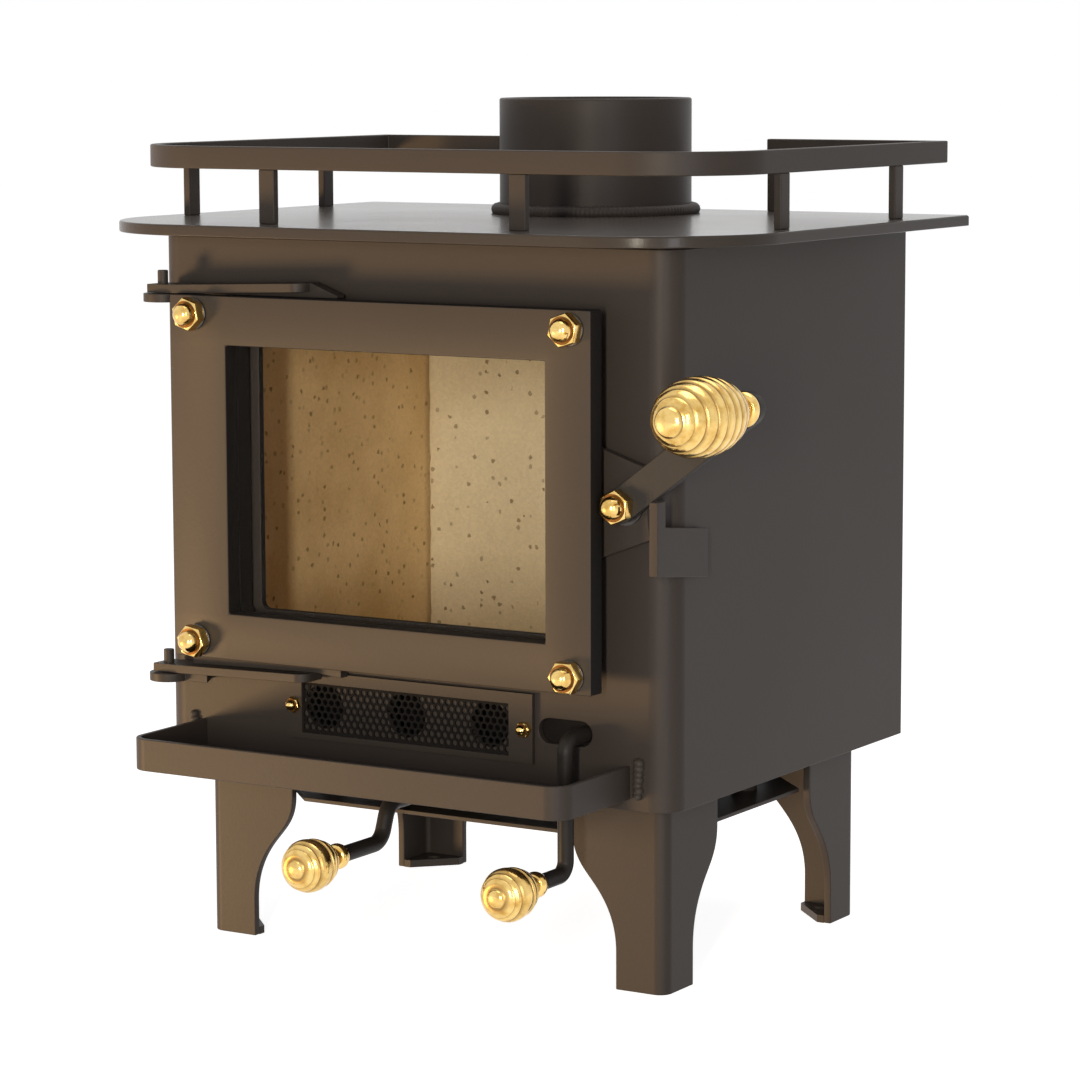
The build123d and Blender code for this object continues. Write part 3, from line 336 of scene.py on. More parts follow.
# %% Settled dust
dust_tone = (0.42, 0.38, 0.33, 1.0)
dust, dust_in, dust_out = new_group(
    "settled_dust",
    [("Amount", "Float", 0.2), ("Clean", "Color", (0.1, 0.1, 0.1, 1.0))],
    [("Color", "Color"), ("Mask", "Float")],
)
place = node(dust, "TexCoord")
facing = node(dust, "NewGeometry")
upward = node(dust, "SeparateXYZ")
drift = node(dust, "TexNoise", Scale=70.0, Detail=5.0, Roughness=0.65)
join(dust, (facing, "Normal"), (upward, "Vector"))
join(dust, (place, "Object"), (drift, "Vector"))
lying = math_node(dust, "MULTIPLY", (upward, "Z"), (drift, "Fac"))
lying.use_clamp = True
mask = math_node(dust, "MULTIPLY", (lying, "Value"), (dust_in, "Amount"))
over = node(dust, "Mix", data_type="RGBA")
over.inputs[mix_b].default_value = dust_tone
join(dust, (mask, "Value"), (over, "Factor"))
join(dust, (dust_in, "Clean"), (over, mix_a))
join(dust, (over, mix_result), (dust_out, "Color"))
join(dust, (mask, "Value"), (dust_out, "Mask"))
print("group:", dust.name)

# %% [markdown]
# ## Paint
# Stove paint is a matt spray with fine metal in it. It looks brown where the warm lamp
# falls on it and grey elsewhere. One function makes every painted or cast finish, from
# a dark and a light tone, so they all share one kind of grain.

# %% Paint finishes
paint_shine = 0.14


def paint(name, dark, light, roughness=0.38, bump=0.15, dust_amount=0.02):
    """A sprayed finish: grain in colour, roughness and height, with a little dust."""
    material, tree, shader = new_material(name)
    spray = use_group(tree, grain, Dark=dark + (1.0,), Light=light + (1.0,), Roughness=roughness)
    lying_dust = use_group(tree, dust, Amount=dust_amount)
    relief = node(tree, "Bump", Strength=bump, Distance=0.0002)
    join(tree, (spray, "Color"), (lying_dust, "Clean"))
    join(tree, (lying_dust, "Color"), (shader, "Base Color"))
    join(tree, (spray, "Roughness"), (shader, "Roughness"))
    join(tree, (spray, "Height"), (relief, "Height"))
    join(tree, (relief, "Normal"), (shader, "Normal"))
    shader.inputs["Specular IOR Level"].default_value = paint_shine
    return material


stove_paint = paint("stove_paint", (0.049, 0.0415, 0.038), (0.068, 0.057, 0.051), dust_amount=0.03)
# The door paint is the stove paint made lighter: painted light on the door.
lit_door_paint = paint("lit_door_paint", (0.060, 0.050, 0.042), (0.081, 0.067, 0.056), dust_amount=0.01)
# The lever paint is a darker, greyer copy of the paint: painted shade on the latch lever.
shaded_lever_paint = paint("shaded_lever_paint", (0.036, 0.034, 0.034), (0.052, 0.049, 0.048))
rod_paint = paint("rod_paint", (0.016, 0.014, 0.013), (0.030, 0.027, 0.025), bump=0.2)
# The dark paint is soot-black on the dark parts, and it is painted shade where it covers edges and
# recesses in shadow.
soot_and_shade_paint = paint(
    "soot_and_shade_paint", (0.007, 0.006, 0.006), (0.016, 0.014, 0.013), roughness=0.75, bump=0.5
)
cast_finish = paint(
    "cast_finish",
    (0.030, 0.028, 0.027),
    (0.065, 0.060, 0.056),
    roughness=0.70,
    bump=1.0,
    dust_amount=0.10,
)
hotplate_paint = paint(
    "hotplate_paint",
    (0.053, 0.045, 0.040),
    (0.073, 0.062, 0.054),
    roughness=0.16,
    bump=0.10,
    dust_amount=0.03,
)
print("paints:", [made.name for made in bpy.data.materials if made.name.endswith("_paint")])

# %% [markdown]
# The top of the hotplate is rubbed smooth by pans, so it mirrors the pale room when one
# looks along it. Its edge and its underside are as dull as the other paint. The way a
# face points tells the two apart.

# %% Shiny top of the hotplate
hotplate_shine = 0.9
nearly_level = 0.95
tree = hotplate_paint.node_tree
facing = node(tree, "NewGeometry")
upward = node(tree, "SeparateXYZ")
join(tree, (facing, "Normal"), (upward, "Vector"))
looks_up = math_node(tree, "GREATER_THAN", (upward, "Z"), nearly_level)
extra_shine = hotplate_shine - paint_shine
top_shine = math_node(tree, "MULTIPLY_ADD", (looks_up, "Value"), extra_shine, paint_shine)
join(tree, (top_shine, "Value"), (tree.nodes["Principled BSDF"], "Specular IOR Level"))
print("hotplate shine on top:", hotplate_shine, "and on its edge:", paint_shine)

# %% [markdown]
# ## Brass and steel
# The knobs and nuts are turned from brass and polished. Fine lines run round them, and
# tarnish makes some places a little rougher and redder. The grooves are darkened with
# painted shade and a trace of tarnish. Bare steel parts are duller.

# %% Metal finishes
# Painted shade for the grooves, with a trace of tarnish.
groove_shade_tone = (0.13, 0.062, 0.018, 1.0)


def turned_metal(name, base, tarnished, roughness, rough_spread, spot_scale, bump):
    """Polished metal with turned lines, a trace of tarnish, and painted shade in the grooves."""
    material, tree, shader = new_material(name)
    marks = use_group(tree, turned, Line_Scale=800.0, Tarnish_Scale=spot_scale)
    tone = two_tones(tree, base, tarnished, first_at=0.42, second_at=0.72)
    groove = node(tree, "Attribute", attribute_name="groove")
    shaded_grooves = node(tree, "Mix", data_type="RGBA")
    shaded_grooves.inputs[mix_b].default_value = groove_shade_tone
    rough = math_node(tree, "MULTIPLY_ADD", (marks, "Tarnish"), rough_spread, roughness)
    groove_rough = math_node(tree, "MULTIPLY", (groove, "Fac"), 0.35)
    all_rough = math_node(tree, "ADD", (rough, "Value"), (groove_rough, "Value"))
    relief = node(tree, "Bump", Strength=bump, Distance=0.0001)
    join(tree, (marks, "Tarnish"), (tone, "Fac"))
    join(tree, (groove, "Fac"), (shaded_grooves, "Factor"))
    join(tree, (tone, "Color"), (shaded_grooves, mix_a))
    join(tree, (shaded_grooves, mix_result), (shader, "Base Color"))
    join(tree, (all_rough, "Value"), (shader, "Roughness"))
    join(tree, (marks, "Line Height"), (relief, "Height"))
    join(tree, (relief, "Normal"), (shader, "Normal"))
    shader.inputs["Metallic"].default_value = 1.0
    return material


polished_brass = turned_metal(
    "polished_brass",
    base=(0.87, 0.61, 0.22),
    tarnished=(0.60, 0.35, 0.08),
    roughness=0.05,
    rough_spread=0.20,
    spot_scale=240.0,
    bump=0.05,
)
bare_steel = turned_metal(
    "bare_steel",
    base=(0.12, 0.115, 0.11),
    tarnished=(0.06, 0.055, 0.05),
    roughness=0.30,
    rough_spread=0.25,
    spot_scale=120.0,
    bump=0.15,
)
print("metals:", polished_brass.name, bare_steel.name)

# %% [markdown]
# ## Fire board
# The boards are pressed from vermiculite. Soft clouds shift them between two buff tones,
# small cells give each grain its own shade, and some of the larger cells are picked out
# as brown flakes. Noise moves the larger cells a little, so the flakes are ragged.


# %% Fire board finishes
def pressed_board(name, dark_buff, light_buff):
    """Pressed board: two buff tones in clouds, fine grains, and brown flakes."""
    material, tree, shader = new_material(name)
    place = node(tree, "TexCoord")
    grains = node(tree, "TexVoronoi", Scale=1100.0, Randomness=1.0)
    stain = node(tree, "TexNoise", Scale=26.0, Detail=5.0, Roughness=0.6)
    ragged = node(tree, "TexNoise", Scale=900.0, Detail=2.0)
    flakes = node(tree, "TexVoronoi", Scale=330.0, Randomness=1.0)
    for texture in (grains, stain, ragged):
        join(tree, (place, "Object"), (texture, "Vector"))
    shift = node(tree, "VectorMath", operation="MULTIPLY_ADD")
    shift.inputs[1].default_value = (0.0016, 0.0016, 0.0016)
    join(tree, (ragged, "Color"), (shift, 0))
    join(tree, (place, "Object"), (shift, 2))
    join(tree, (shift, "Vector"), (flakes, "Vector"))

    buff = two_tones(tree, dark_buff, light_buff, first_at=0.30, second_at=0.68)
    grain_shade = node(tree, "SeparateColor")
    grained = node(tree, "Mix", data_type="RGBA", blend_type="MULTIPLY", Factor=0.10)
    join(tree, (stain, "Fac"), (buff, "Fac"))
    join(tree, (grains, "Color"), (grain_shade, "Color"))
    join(tree, (buff, "Color"), (grained, mix_a))
    join(tree, (grain_shade, "Red"), (grained, mix_b))

    flake_lot = node(tree, "SeparateColor")
    join(tree, (flakes, "Color"), (flake_lot, "Color"))
    picked = math_node(tree, "GREATER_THAN", (flake_lot, "Red"), 0.84)
    core = math_node(tree, "LESS_THAN", (flakes, "Distance"), 0.32)
    strength = math_node(tree, "MULTIPLY", (flake_lot, "Green"), (core, "Value"))
    flake_mask = math_node(tree, "MULTIPLY", (picked, "Value"), (strength, "Value"))
    flaked = node(tree, "Mix", data_type="RGBA")
    flaked.inputs[mix_b].default_value = (0.30, 0.21, 0.10, 1.0)
    join(tree, (flake_mask, "Value"), (flaked, "Factor"))
    join(tree, (grained, mix_result), (flaked, mix_a))
    join(tree, (flaked, mix_result), (shader, "Base Color"))

    height = math_node(tree, "ADD", (grains, "Distance"), (stain, "Fac"))
    relief = node(tree, "Bump", Strength=0.12, Distance=0.0003)
    rough = math_node(tree, "MULTIPLY_ADD", (flake_mask, "Value"), -0.35, 0.92)
    join(tree, (height, "Value"), (relief, "Height"))
    join(tree, (relief, "Normal"), (shader, "Normal"))
    join(tree, (rough, "Value"), (shader, "Roughness"))
    shader.inputs["Specular IOR Level"].default_value = 0.15
    return material


fire_board = pressed_board("fire_board", (0.82, 0.71, 0.49), (0.93, 0.83, 0.61))
# The side boards get darker, warmer tones of the same board: painted shade.
shaded_side_board = pressed_board("shaded_side_board", (0.68, 0.50, 0.26), (0.84, 0.66, 0.39))
print("boards:", fire_board.name, shaded_side_board.name)

# %% [markdown]
# ## Glass, rope and tape
# The window is a clear ceramic pane. Shadow rays and rays of soft light pass it without
# a trace, so the lamps light the boards behind it. The door seal is a braided black
# glass rope, and a flat woven tape beds the pane.

# %% Glass finish
stove_glass, tree, shader = new_material("stove_glass")
shader.inputs["Transmission Weight"].default_value = 1.0
shader.inputs["IOR"].default_value = 1.06
place = node(tree, "TexCoord")
haze = node(tree, "TexNoise", Scale=35.0, Detail=3.0)
pane_tint = two_tones(tree, (0.97, 0.96, 0.93), (1.0, 0.99, 0.97))
haze_rough = math_node(tree, "MULTIPLY", (haze, "Fac"), 0.012)
join(tree, (place, "Object"), (haze, "Vector"))
join(tree, (haze, "Fac"), (pane_tint, "Fac"))
join(tree, (pane_tint, "Color"), (shader, "Base Color"))
join(tree, (haze_rough, "Value"), (shader, "Roughness"))
path = node(tree, "LightPath")
open_way = node(tree, "BsdfTransparent")
pane_mix = node(tree, "MixShader")
lets_pass = math_node(tree, "MAXIMUM", (path, "Is Shadow Ray"), (path, "Is Diffuse Ray"))
join(tree, (lets_pass, "Value"), (pane_mix, "Fac"))
join(tree, (shader, "BSDF"), (pane_mix, 1))
join(tree, (open_way, "BSDF"), (pane_mix, 2))
join(tree, (pane_mix, "Shader"), (tree.nodes["Material Output"], "Surface"))
print("glass:", stove_glass.name)


# %% Woven finishes
def woven(name, dark, light, scale, bump):
    """A coarse braid: two crossed wave patterns give the colour and the relief."""
    material, tree, shader = new_material(name)
    place = node(tree, "TexCoord")
    one = node(tree, "TexWave", bands_direction="DIAGONAL", Scale=scale, Distortion=0.4)
    other = node(tree, "TexWave", bands_direction="DIAGONAL", Scale=scale, Distortion=0.4)
    flip = node(tree, "Mapping", Scale=(-1.0, 1.0, 1.0))
    join(tree, (place, "Object"), (one, "Vector"))
    join(tree, (place, "Object"), (flip, "Vector"))
    join(tree, (flip, "Vector"), (other, "Vector"))
    crossing = math_node(tree, "MULTIPLY", (one, "Fac"), (other, "Fac"))
    tone = two_tones(tree, dark, light)
    relief = node(tree, "Bump", Strength=bump, Distance=0.0008)
    rough = math_node(tree, "MULTIPLY_ADD", (crossing, "Value"), 0.1, 0.85)
    join(tree, (crossing, "Value"), (tone, "Fac"))
    join(tree, (tone, "Color"), (shader, "Base Color"))
    join(tree, (rough, "Value"), (shader, "Roughness"))
    join(tree, (crossing, "Value"), (relief, "Height"))
    join(tree, (relief, "Normal"), (shader, "Normal"))
    return material


rope_weave = woven("rope_weave", (0.018, 0.017, 0.016), (0.10, 0.095, 0.09), scale=220.0, bump=0.8)
tape_weave = woven("tape_weave", (0.40, 0.39, 0.36), (0.68, 0.66, 0.62), scale=420.0, bump=0.5)
print("weaves:", rope_weave.name, tape_weave.name)

# %% [markdown]
# ## Rounded edges
# Cut and folded plate has small round edges, and they catch the light. Each plate is
# copied, its loose triangles are merged into flat faces, and its sharp edges get a
# small bevel. Weighted normals keep the flat faces flat in the shading.


# %% Helpers for pieces
def add_piece(bm, name, material, body, replaced=(), smooth_angle=40):
    """Turn a bmesh into a finished piece that rides on a body."""
    mesh = bpy.data.meshes.new(name)
    bm.to_mesh(mesh)
    bm.free()
    mesh.materials.append(material)
    for face in mesh.polygons:
        face.use_smooth = True
    mesh.set_sharp_from_angle(angle=radians(smooth_angle))
    piece = bpy.data.objects.new(name, mesh)
    scene.collection.objects.link(piece)
    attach(piece, body)
    if replaced:
        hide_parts(*replaced)
    return piece


def merged_copy(source):
    """A bmesh of a CAD node with its triangles merged into flat faces."""
    bm = bmesh.new()
    bm.from_mesh(frame["nodes"][source].data)
    bmesh.ops.remove_doubles(bm, verts=bm.verts, dist=0.002 * mm)
    bmesh.ops.dissolve_limit(bm, angle_limit=radians(0.5), verts=bm.verts, edges=bm.edges)
    return bm


def sharp_edges(bm, angle):
    """The edges where two faces meet at more than an angle, in degrees."""
    return [e for e in bm.edges if len(e.link_faces) == 2 and e.calc_face_angle() > radians(angle)]


def round_edges(bm, edges, width, segments=2):
    """Bevel edges by a width in millimetres."""
    bmesh.ops.bevel(
        bm,
        geom=edges,
        offset=width * mm,
        offset_type="OFFSET",
        segments=segments,
        profile=0.5,
        affect="EDGES",
        material=-1,
        clamp_overlap=True,
    )


def close_holes(bm):
    """Fill what a cut left open."""
    bmesh.ops.holes_fill(bm, edges=[e for e in bm.edges if e.is_boundary], sides=0)


# %% Plates with rounded edges
plate_edges = {
    "body_shell": 0.4,
    "back_panel": 0.4,
    "top_plate": 0.5,
    "flue_collar": 0.4,
    "rail": 0.5,
    "rail_posts": 0.4,
    "leg_front_left": 0.4,
    "leg_front_right": 0.4,
    "leg_rear_left": 0.4,
    "leg_rear_right": 0.4,
    "heat_shield": 0.3,
    "ash_lip": 0.35,
    "air_cover": 0.3,
    "hinge_leaf_upper": 0.4,
    "hinge_leaf_lower": 0.4,
    "hinge_bracket_upper": 0.4,
    "hinge_bracket_lower": 0.4,
    "hinge_pins": 0.3,
    "latch_bracket": 0.35,
    "latch_lever": 0.45,
    "catch_plate": 0.35,
    "top_ring": 0.3,
}
special_finish = {"top_plate": hotplate_paint, "latch_lever": shaded_lever_paint}
for plate_name, width in plate_edges.items():
    bm = merged_copy(plate_name)
    round_edges(bm, sharp_edges(bm, 32), width)
    plate = add_piece(
        bm,
        plate_name + "_eased",
        special_finish.get(plate_name, stove_paint),
        body_of_node[plate_name],
        (plate_name,),
    )
    weight = plate.modifiers.new("weighted", "WEIGHTED_NORMAL")
    weight.keep_sharp = True
print("plates with rounded edges:", len(plate_edges))

# %% [markdown]
# ## Foot plates
# Each leg stands on a small plate with a bolt hole. The inner corner of a plate is cut
# off, so that it stays behind the leg when the stove is seen from the front.

# %% Foot plates
foot_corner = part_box("foot_plates")[1]
foot_reach = 10.5 * mm
cut_x = foot_corner.x - foot_reach
cut_y = foot_corner.y - foot_reach
bm = merged_copy("foot_plates")
for side in (-1, 1):
    for end in (-1, 1):
        foot_verts = [v for v in bm.verts if v.co.x * side > 0 and v.co.y * end > 0]
        foot_edges = [e for e in bm.edges if e.verts[0] in foot_verts]
        foot_faces = [f for f in bm.faces if f.verts[0] in foot_verts]
        bmesh.ops.bisect_plane(
            bm,
            geom=foot_verts + foot_edges + foot_faces,
            plane_co=(side * cut_x, end * cut_y, 0.0),
            plane_no=(-side, -end, 0.0),
            clear_outer=True,
        )
close_holes(bm)
bmesh.ops.recalc_face_normals(bm, faces=bm.faces)
foot_piece = add_piece(
    bm, "foot_plates_cut", stove_paint, "stove", ("foot_plates",)
)
print("foot plates cut, faces:", len(foot_piece.data.polygons))

# %% [markdown]
# ## Door frame
# The door is a thick plate with a sharp-cornered window sawn out of it. A block of the
# plate's size is cut along the four sides of the window, the middle is taken out, and
# the two rims are bridged. The plate's sawn and outer edges, and the edges of the
# body's mouth, take the dark paint as painted shade.


# %% Helpers for the window
def seen_between(point, low, high, margin=0.0):
    """Whether a point lies between two corners, seen from the front."""
    in_width = low.x - margin < point.x < high.x + margin
    in_height = low.z - margin < point.z < high.z + margin
    return in_width and in_height


def paint_shade_on_edges(piece, low, high):
    """Paint shade on the faces between two corners that face neither the front nor the rear: they
    take the dark paint.
    """
    piece.data.materials.append(soot_and_shade_paint)
    for face in piece.data.polygons:
        if seen_between(face.center, low, high, mm) and abs(face.normal.y) < 0.6:
            face.material_index = 1


# %% Door frame
pane_low, pane_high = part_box("door_glass")
plate_low, plate_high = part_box("door_frame")
pane_overlap = Vector((4.7, 0.0, 4.7)) * mm
window_low = pane_low + pane_overlap
window_high = pane_high - pane_overlap
plate_middle = (plate_low + plate_high) / 2
plate_size = plate_high - plate_low
bm = bmesh.new()
bmesh.ops.create_cube(
    bm, size=1.0, matrix=Matrix.Translation(plate_middle) @ Matrix.Diagonal((*plate_size, 1.0))
)
for across in ((1, 0, 0), (0, 0, 1)):
    for corner in (window_low, window_high):
        bmesh.ops.bisect_plane(
            bm, geom=bm.verts[:] + bm.edges[:] + bm.faces[:], plane_co=corner, plane_no=across
        )
sawn_out = [f for f in bm.faces if seen_between(f.calc_center_median(), window_low, window_high)]
bmesh.ops.delete(bm, geom=sawn_out, context="FACES_ONLY")
bmesh.ops.bridge_loops(bm, edges=[e for e in bm.edges if e.is_boundary])
bmesh.ops.recalc_face_normals(bm, faces=bm.faces)
round_edges(bm, sharp_edges(bm, 40), 0.6)
door_plate = add_piece(bm, "door_plate", lit_door_paint, "door", ("door_frame",))
# The door's edges and the edges of the body's mouth get the dark paint as painted shade.
paint_shade_on_edges(door_plate, plate_low, plate_high)
paint_shade_on_edges(bpy.data.objects["body_shell_eased"], window_low, window_high)
print("window in mm:", [round(v / mm, 1) for v in window_high - window_low])

# %% [markdown]
# ## Turned brass knobs
# A knob is turned on a lathe: one outline is spun round its axis. The outline has a bead
# at the foot, a neck, tiers with a rounded crown and a sharp groove between them, and a
# boss at the tip. The middle tiers are cut deepest. A value stored at every point says
# how deep in a groove it lies, and the brass finish uses it to paint shade into the grooves,
# the neck and the edge of the boss.


# %% Helpers for turned pieces
def spun(outline, foot, steps):
    """Spin an outline of (radius, distance, groove shade) round an axis that points to the front.
    """
    bm = bmesh.new()
    depth = bm.verts.layers.float.new("groove")
    points = []
    for radius, distance, groove in outline:
        point = bm.verts.new((foot[0] + radius * mm, foot[1] - distance * mm, foot[2]))
        point[depth] = groove
        points.append(point)
    lines = [bm.edges.new(pair) for pair in zip(points, points[1:])]
    bmesh.ops.spin(
        bm,
        geom=points + lines,
        cent=foot,
        axis=(0.0, 1.0, 0.0),
        angle=2 * pi,
        steps=steps,
        use_merge=True,
    )
    bmesh.ops.remove_doubles(bm, verts=bm.verts, dist=0.001 * mm)
    bmesh.ops.recalc_face_normals(bm, faces=bm.faces)
    return bm


def grooved_bmesh():
    """An empty bmesh that keeps the painted groove shade of the pieces merged into it."""
    bm = bmesh.new()
    bm.verts.layers.float.new("groove")
    return bm


def merge_into(bm, other):
    """Add the whole of another bmesh to a bmesh."""
    carrier = bpy.data.meshes.new("carrier")
    other.to_mesh(carrier)
    other.free()
    bm.from_mesh(carrier)
    bpy.data.meshes.remove(carrier)


def tiered_outline(radius, widest, rear_half, front_half, tiers, groove, bead, neck, boss):
    """The outline of a beehive knob, in millimetres from its foot.

    The crown of the tiers is an oval of this radius, widest at a distance from the foot,
    with a rear and a front half. Bead and boss are written (radius, length).
    """
    bead_radius, bead_length = bead
    boss_radius, boss_length = boss
    neck_gap = 0.4
    neck_shade = 0.6
    boss_shade = 0.8
    arc_steps = 8
    tier_steps = 12
    boss_steps = 6
    deep_tiers = (0.45, 0.9)

    outline = [(0.0, 0.0, 0.0)]
    for part in range(arc_steps + 1):
        turn = pi * part / arc_steps
        reach = neck + (bead_radius - neck) * sin(turn)
        outline.append((reach, bead_length * (1 - cos(turn)) / 2, 0.0))
    outline.append((neck, bead_length + neck_gap, neck_shade))
    outline.append((neck, tiers[0] - neck_gap, neck_shade))
    for start, stop in zip(tiers, tiers[1:]):
        for part in range(tier_steps + 1):
            share = part / tier_steps
            along = start + (stop - start) * share
            half_length = rear_half if along < widest else front_half
            crown = radius * sqrt(1 - ((along - widest) / half_length) ** 2)
            # The same share sinks the groove and paints its shade.
            sink = abs(2 * share - 1) ** 4
            if not deep_tiers[0] < along / tiers[-1] < deep_tiers[1]:
                sink *= 0.5
            outline.append((max(neck, crown - groove * sink), along, sink))
    outline.append((boss_radius + 0.5, tiers[-1], boss_shade))
    for part in range(boss_steps):
        turn = pi / 2 * part / boss_steps
        along = tiers[-1] + boss_length * (0.35 + 0.65 * sin(turn))
        outline.append((boss_radius * cos(turn), along, 0.0))
    outline.append((0.0, tiers[-1] + boss_length, 0.0))
    return outline


def knob_foot(knob_node):
    """The middle of the rear end of a knob."""
    low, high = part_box(knob_node)
    return ((low.x + high.x) / 2, high.y, (low.z + high.z) / 2)


# %% Turned knobs
small_outline = tiered_outline(
    radius=9.7,
    widest=21.0,
    rear_half=14.5,
    front_half=8.6,
    tiers=(7.2, 10.5, 14.0, 17.5, 24.5, 26.6, 28.2),
    groove=0.9,
    bead=(4.8, 4.6),
    neck=3.6,
    boss=(3.2, 1.8),
)
large_outline = tiered_outline(
    radius=14.0,
    widest=33.0,
    rear_half=25.5,
    front_half=22.5,
    tiers=(9.5, 16.0, 21.5, 26.5, 31.5, 36.5, 41.5, 46.5, 50.5, 53.6),
    groove=0.9,
    bead=(6.6, 4.6),
    neck=4.8,
    boss=(5.0, 2.4),
)
knob_outlines = {
    "front_knob": small_outline,
    "floor_knob": small_outline,
    "latch_knob": large_outline,
}
for knob_node, outline in knob_outlines.items():
    add_piece(
        spun(outline, knob_foot(knob_node), steps=96),
        knob_node + "_turned",
        polished_brass,
        body_of_node[knob_node],
        (knob_node,),
        smooth_angle=60,
    )
print("turned knobs: 3, outline points:", len(small_outline), len(large_outline))

# %% [markdown]
# ## Acorn nuts
# An acorn nut is a chamfered hexagon with a turned dome on it. A screwed-on nut stops at
# any angle, so each nut here is turned a little differently.


# %% Helpers for nuts and washers
def acorn_nut(bm, centre, face, flats, hex_height, dome, turn):
    """Add one nut to a bmesh: a hexagon with a chamfered front, a groove and a dome."""
    hex_radius = flats / sqrt(3) * mm
    hex_middle = face - hex_height / 2 * mm
    hexagon = bmesh.ops.create_cone(
        bm,
        cap_ends=True,
        segments=6,
        radius1=hex_radius,
        radius2=hex_radius,
        depth=hex_height * mm,
        matrix=Matrix.Translation((centre[0], hex_middle, centre[1]))
        @ Matrix.Rotation(radians(90), 4, "X")
        @ Matrix.Rotation(radians(turn), 4, "Z"),
    )["verts"]
    front = [v for v in hexagon if v.co.y < hex_middle]
    rim = [e for e in bm.edges if e.verts[0] in front and e.verts[1] in front]
    round_edges(bm, rim, 0.7, segments=3)

    collar_radius = 1.18 * dome
    collar_rear = hex_height - 0.5
    collar_front = hex_height + 0.05
    dome_rear = hex_height + 0.1
    dome_steps = 12
    # The third values paint shade on the collar between hexagon and dome.
    outline = [
        (0.0, collar_rear, 0.0),
        (collar_radius, collar_rear, 0.9),
        (collar_radius, collar_front, 1.0),
        (0.96 * dome, collar_front, 1.0),
    ]
    for part in range(dome_steps):
        angle = pi / 2 * part / dome_steps
        outline.append((dome * cos(angle), dome_rear + sin(angle) * dome, 0.0))
    outline.append((0.0, dome_rear + dome, 0.0))
    merge_into(bm, spun(outline, (centre[0], face, centre[1]), steps=40))


def solid_centres(node_name):
    """The middle (X, Z) and the rear Y of each solid of a CAD node."""
    bm = merged_copy(node_name)
    left = set(bm.verts)
    found = []
    while left:
        group = set()
        front = [left.pop()]
        while front:
            vert = front.pop()
            group.add(vert)
            for edge in vert.link_edges:
                other = edge.other_vert(vert)
                if other in left:
                    left.remove(other)
                    front.append(other)
        xs = [v.co.x for v in group]
        zs = [v.co.z for v in group]
        rear = max(v.co.y for v in group)
        found.append(((min(xs) + max(xs)) / 2, (min(zs) + max(zs)) / 2, rear))
    bm.free()
    return sorted(found)


# %% Acorn nuts
m6_nut = {"flats": 11.0, "hex_height": 4.4, "dome": 4.3}
m3_nut = {"flats": 5.5, "hex_height": 2.2, "dome": 2.1}
nut_kinds = {
    "door_nuts": (m6_nut, (20, 12, 30, -12)),
    "latch_nut": (m6_nut, (-5,)),
    "air_nuts": (m3_nut, (17, 35)),
}
for nut_node, (nut_size, turns) in nut_kinds.items():
    bm = grooved_bmesh()
    for (x, z, face), turn in zip(solid_centres(nut_node), turns):
        acorn_nut(bm, (x, z), face, turn=turn, **nut_size)
    add_piece(
        bm,
        nut_node + "_turned",
        polished_brass,
        body_of_node[nut_node],
        (nut_node,),
        smooth_angle=35,
    )
    print(nut_node, "nuts:", len(turns))

# %% Door washers
washer_radius = 6.0
washer_height = 1.0
washer_edge = 0.2
washer_outline = [
    (0.0, 0.0, 0.0),
    (washer_radius, 0.0, 0.0),
    (washer_radius, washer_height - washer_edge, 0.0),
    (washer_radius - washer_edge, washer_height, 0.0),
    (0.0, washer_height, 0.0),
]
washer_places = solid_centres("door_washers")
bm = grooved_bmesh()
for x, z, face in washer_places:
    merge_into(bm, spun(washer_outline, (x, face, z), steps=40))
add_piece(bm, "door_washers_turned", bare_steel, "door", ("door_washers",))
print("washers:", len(washer_places))

# %% [markdown]
# ## Weld beads
# The flue collar is welded to the hotplate, and the ends of the ash lip to the body. A
# bead is a row of small overlapping drops, laid one after the other along the joint.


# %% Helpers for weld beads
def drops(bm, centres, radius, squash):
    """Add a row of flattened drops to a bmesh."""
    for centre in centres:
        bmesh.ops.create_uvsphere(
            bm,
            u_segments=10,
            v_segments=6,
            radius=radius * mm,
            matrix=Matrix.Translation(centre) @ Matrix.Diagonal((1.0, 1.0, squash, 1.0)),
        )


def straight_bead(start, end, pitch):
    """Places for drops along a straight line, from start to end."""
    count = max(2, int((Vector(end) - Vector(start)).length / (pitch * mm)))
    return [Vector(start).lerp(Vector(end), part / count) for part in range(count + 1)]


# %% Collar weld
weld_low, weld_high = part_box("collar_weld")
collar_low, collar_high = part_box("flue_collar")
weld_centre = (weld_low + weld_high) / 2
collar_radius = (collar_high.x - collar_low.x) / 2
weld_width = (weld_high.x - weld_low.x) / 2 - collar_radius
weld_reach = collar_radius + 0.25 * weld_width
drop_height = weld_low.z + 1.6 * mm
drop_count = 140
collar_drops = []
for index in range(drop_count):
    angle = 2 * pi * index / drop_count
    wander = 0.25 * mm * noise.noise(Vector((cos(angle) * 4, sin(angle) * 4, 0.5)))
    drop_x = weld_centre.x + (weld_reach + wander) * cos(angle)
    drop_y = weld_centre.y + (weld_reach + wander) * sin(angle)
    collar_drops.append(Vector((drop_x, drop_y, drop_height)))
bm = bmesh.new()
drops(bm, collar_drops, radius=2.6, squash=0.95)
bmesh.ops.bisect_plane(
    bm,
    geom=bm.verts[:] + bm.edges[:] + bm.faces[:],
    plane_co=(0.0, 0.0, weld_low.z),
    plane_no=(0.0, 0.0, -1.0),
    clear_outer=True,
)
close_holes(bm)
add_piece(
    bm, "collar_bead", stove_paint, "stove", ("collar_weld",), smooth_angle=60
)
print("collar drops:", drop_count)

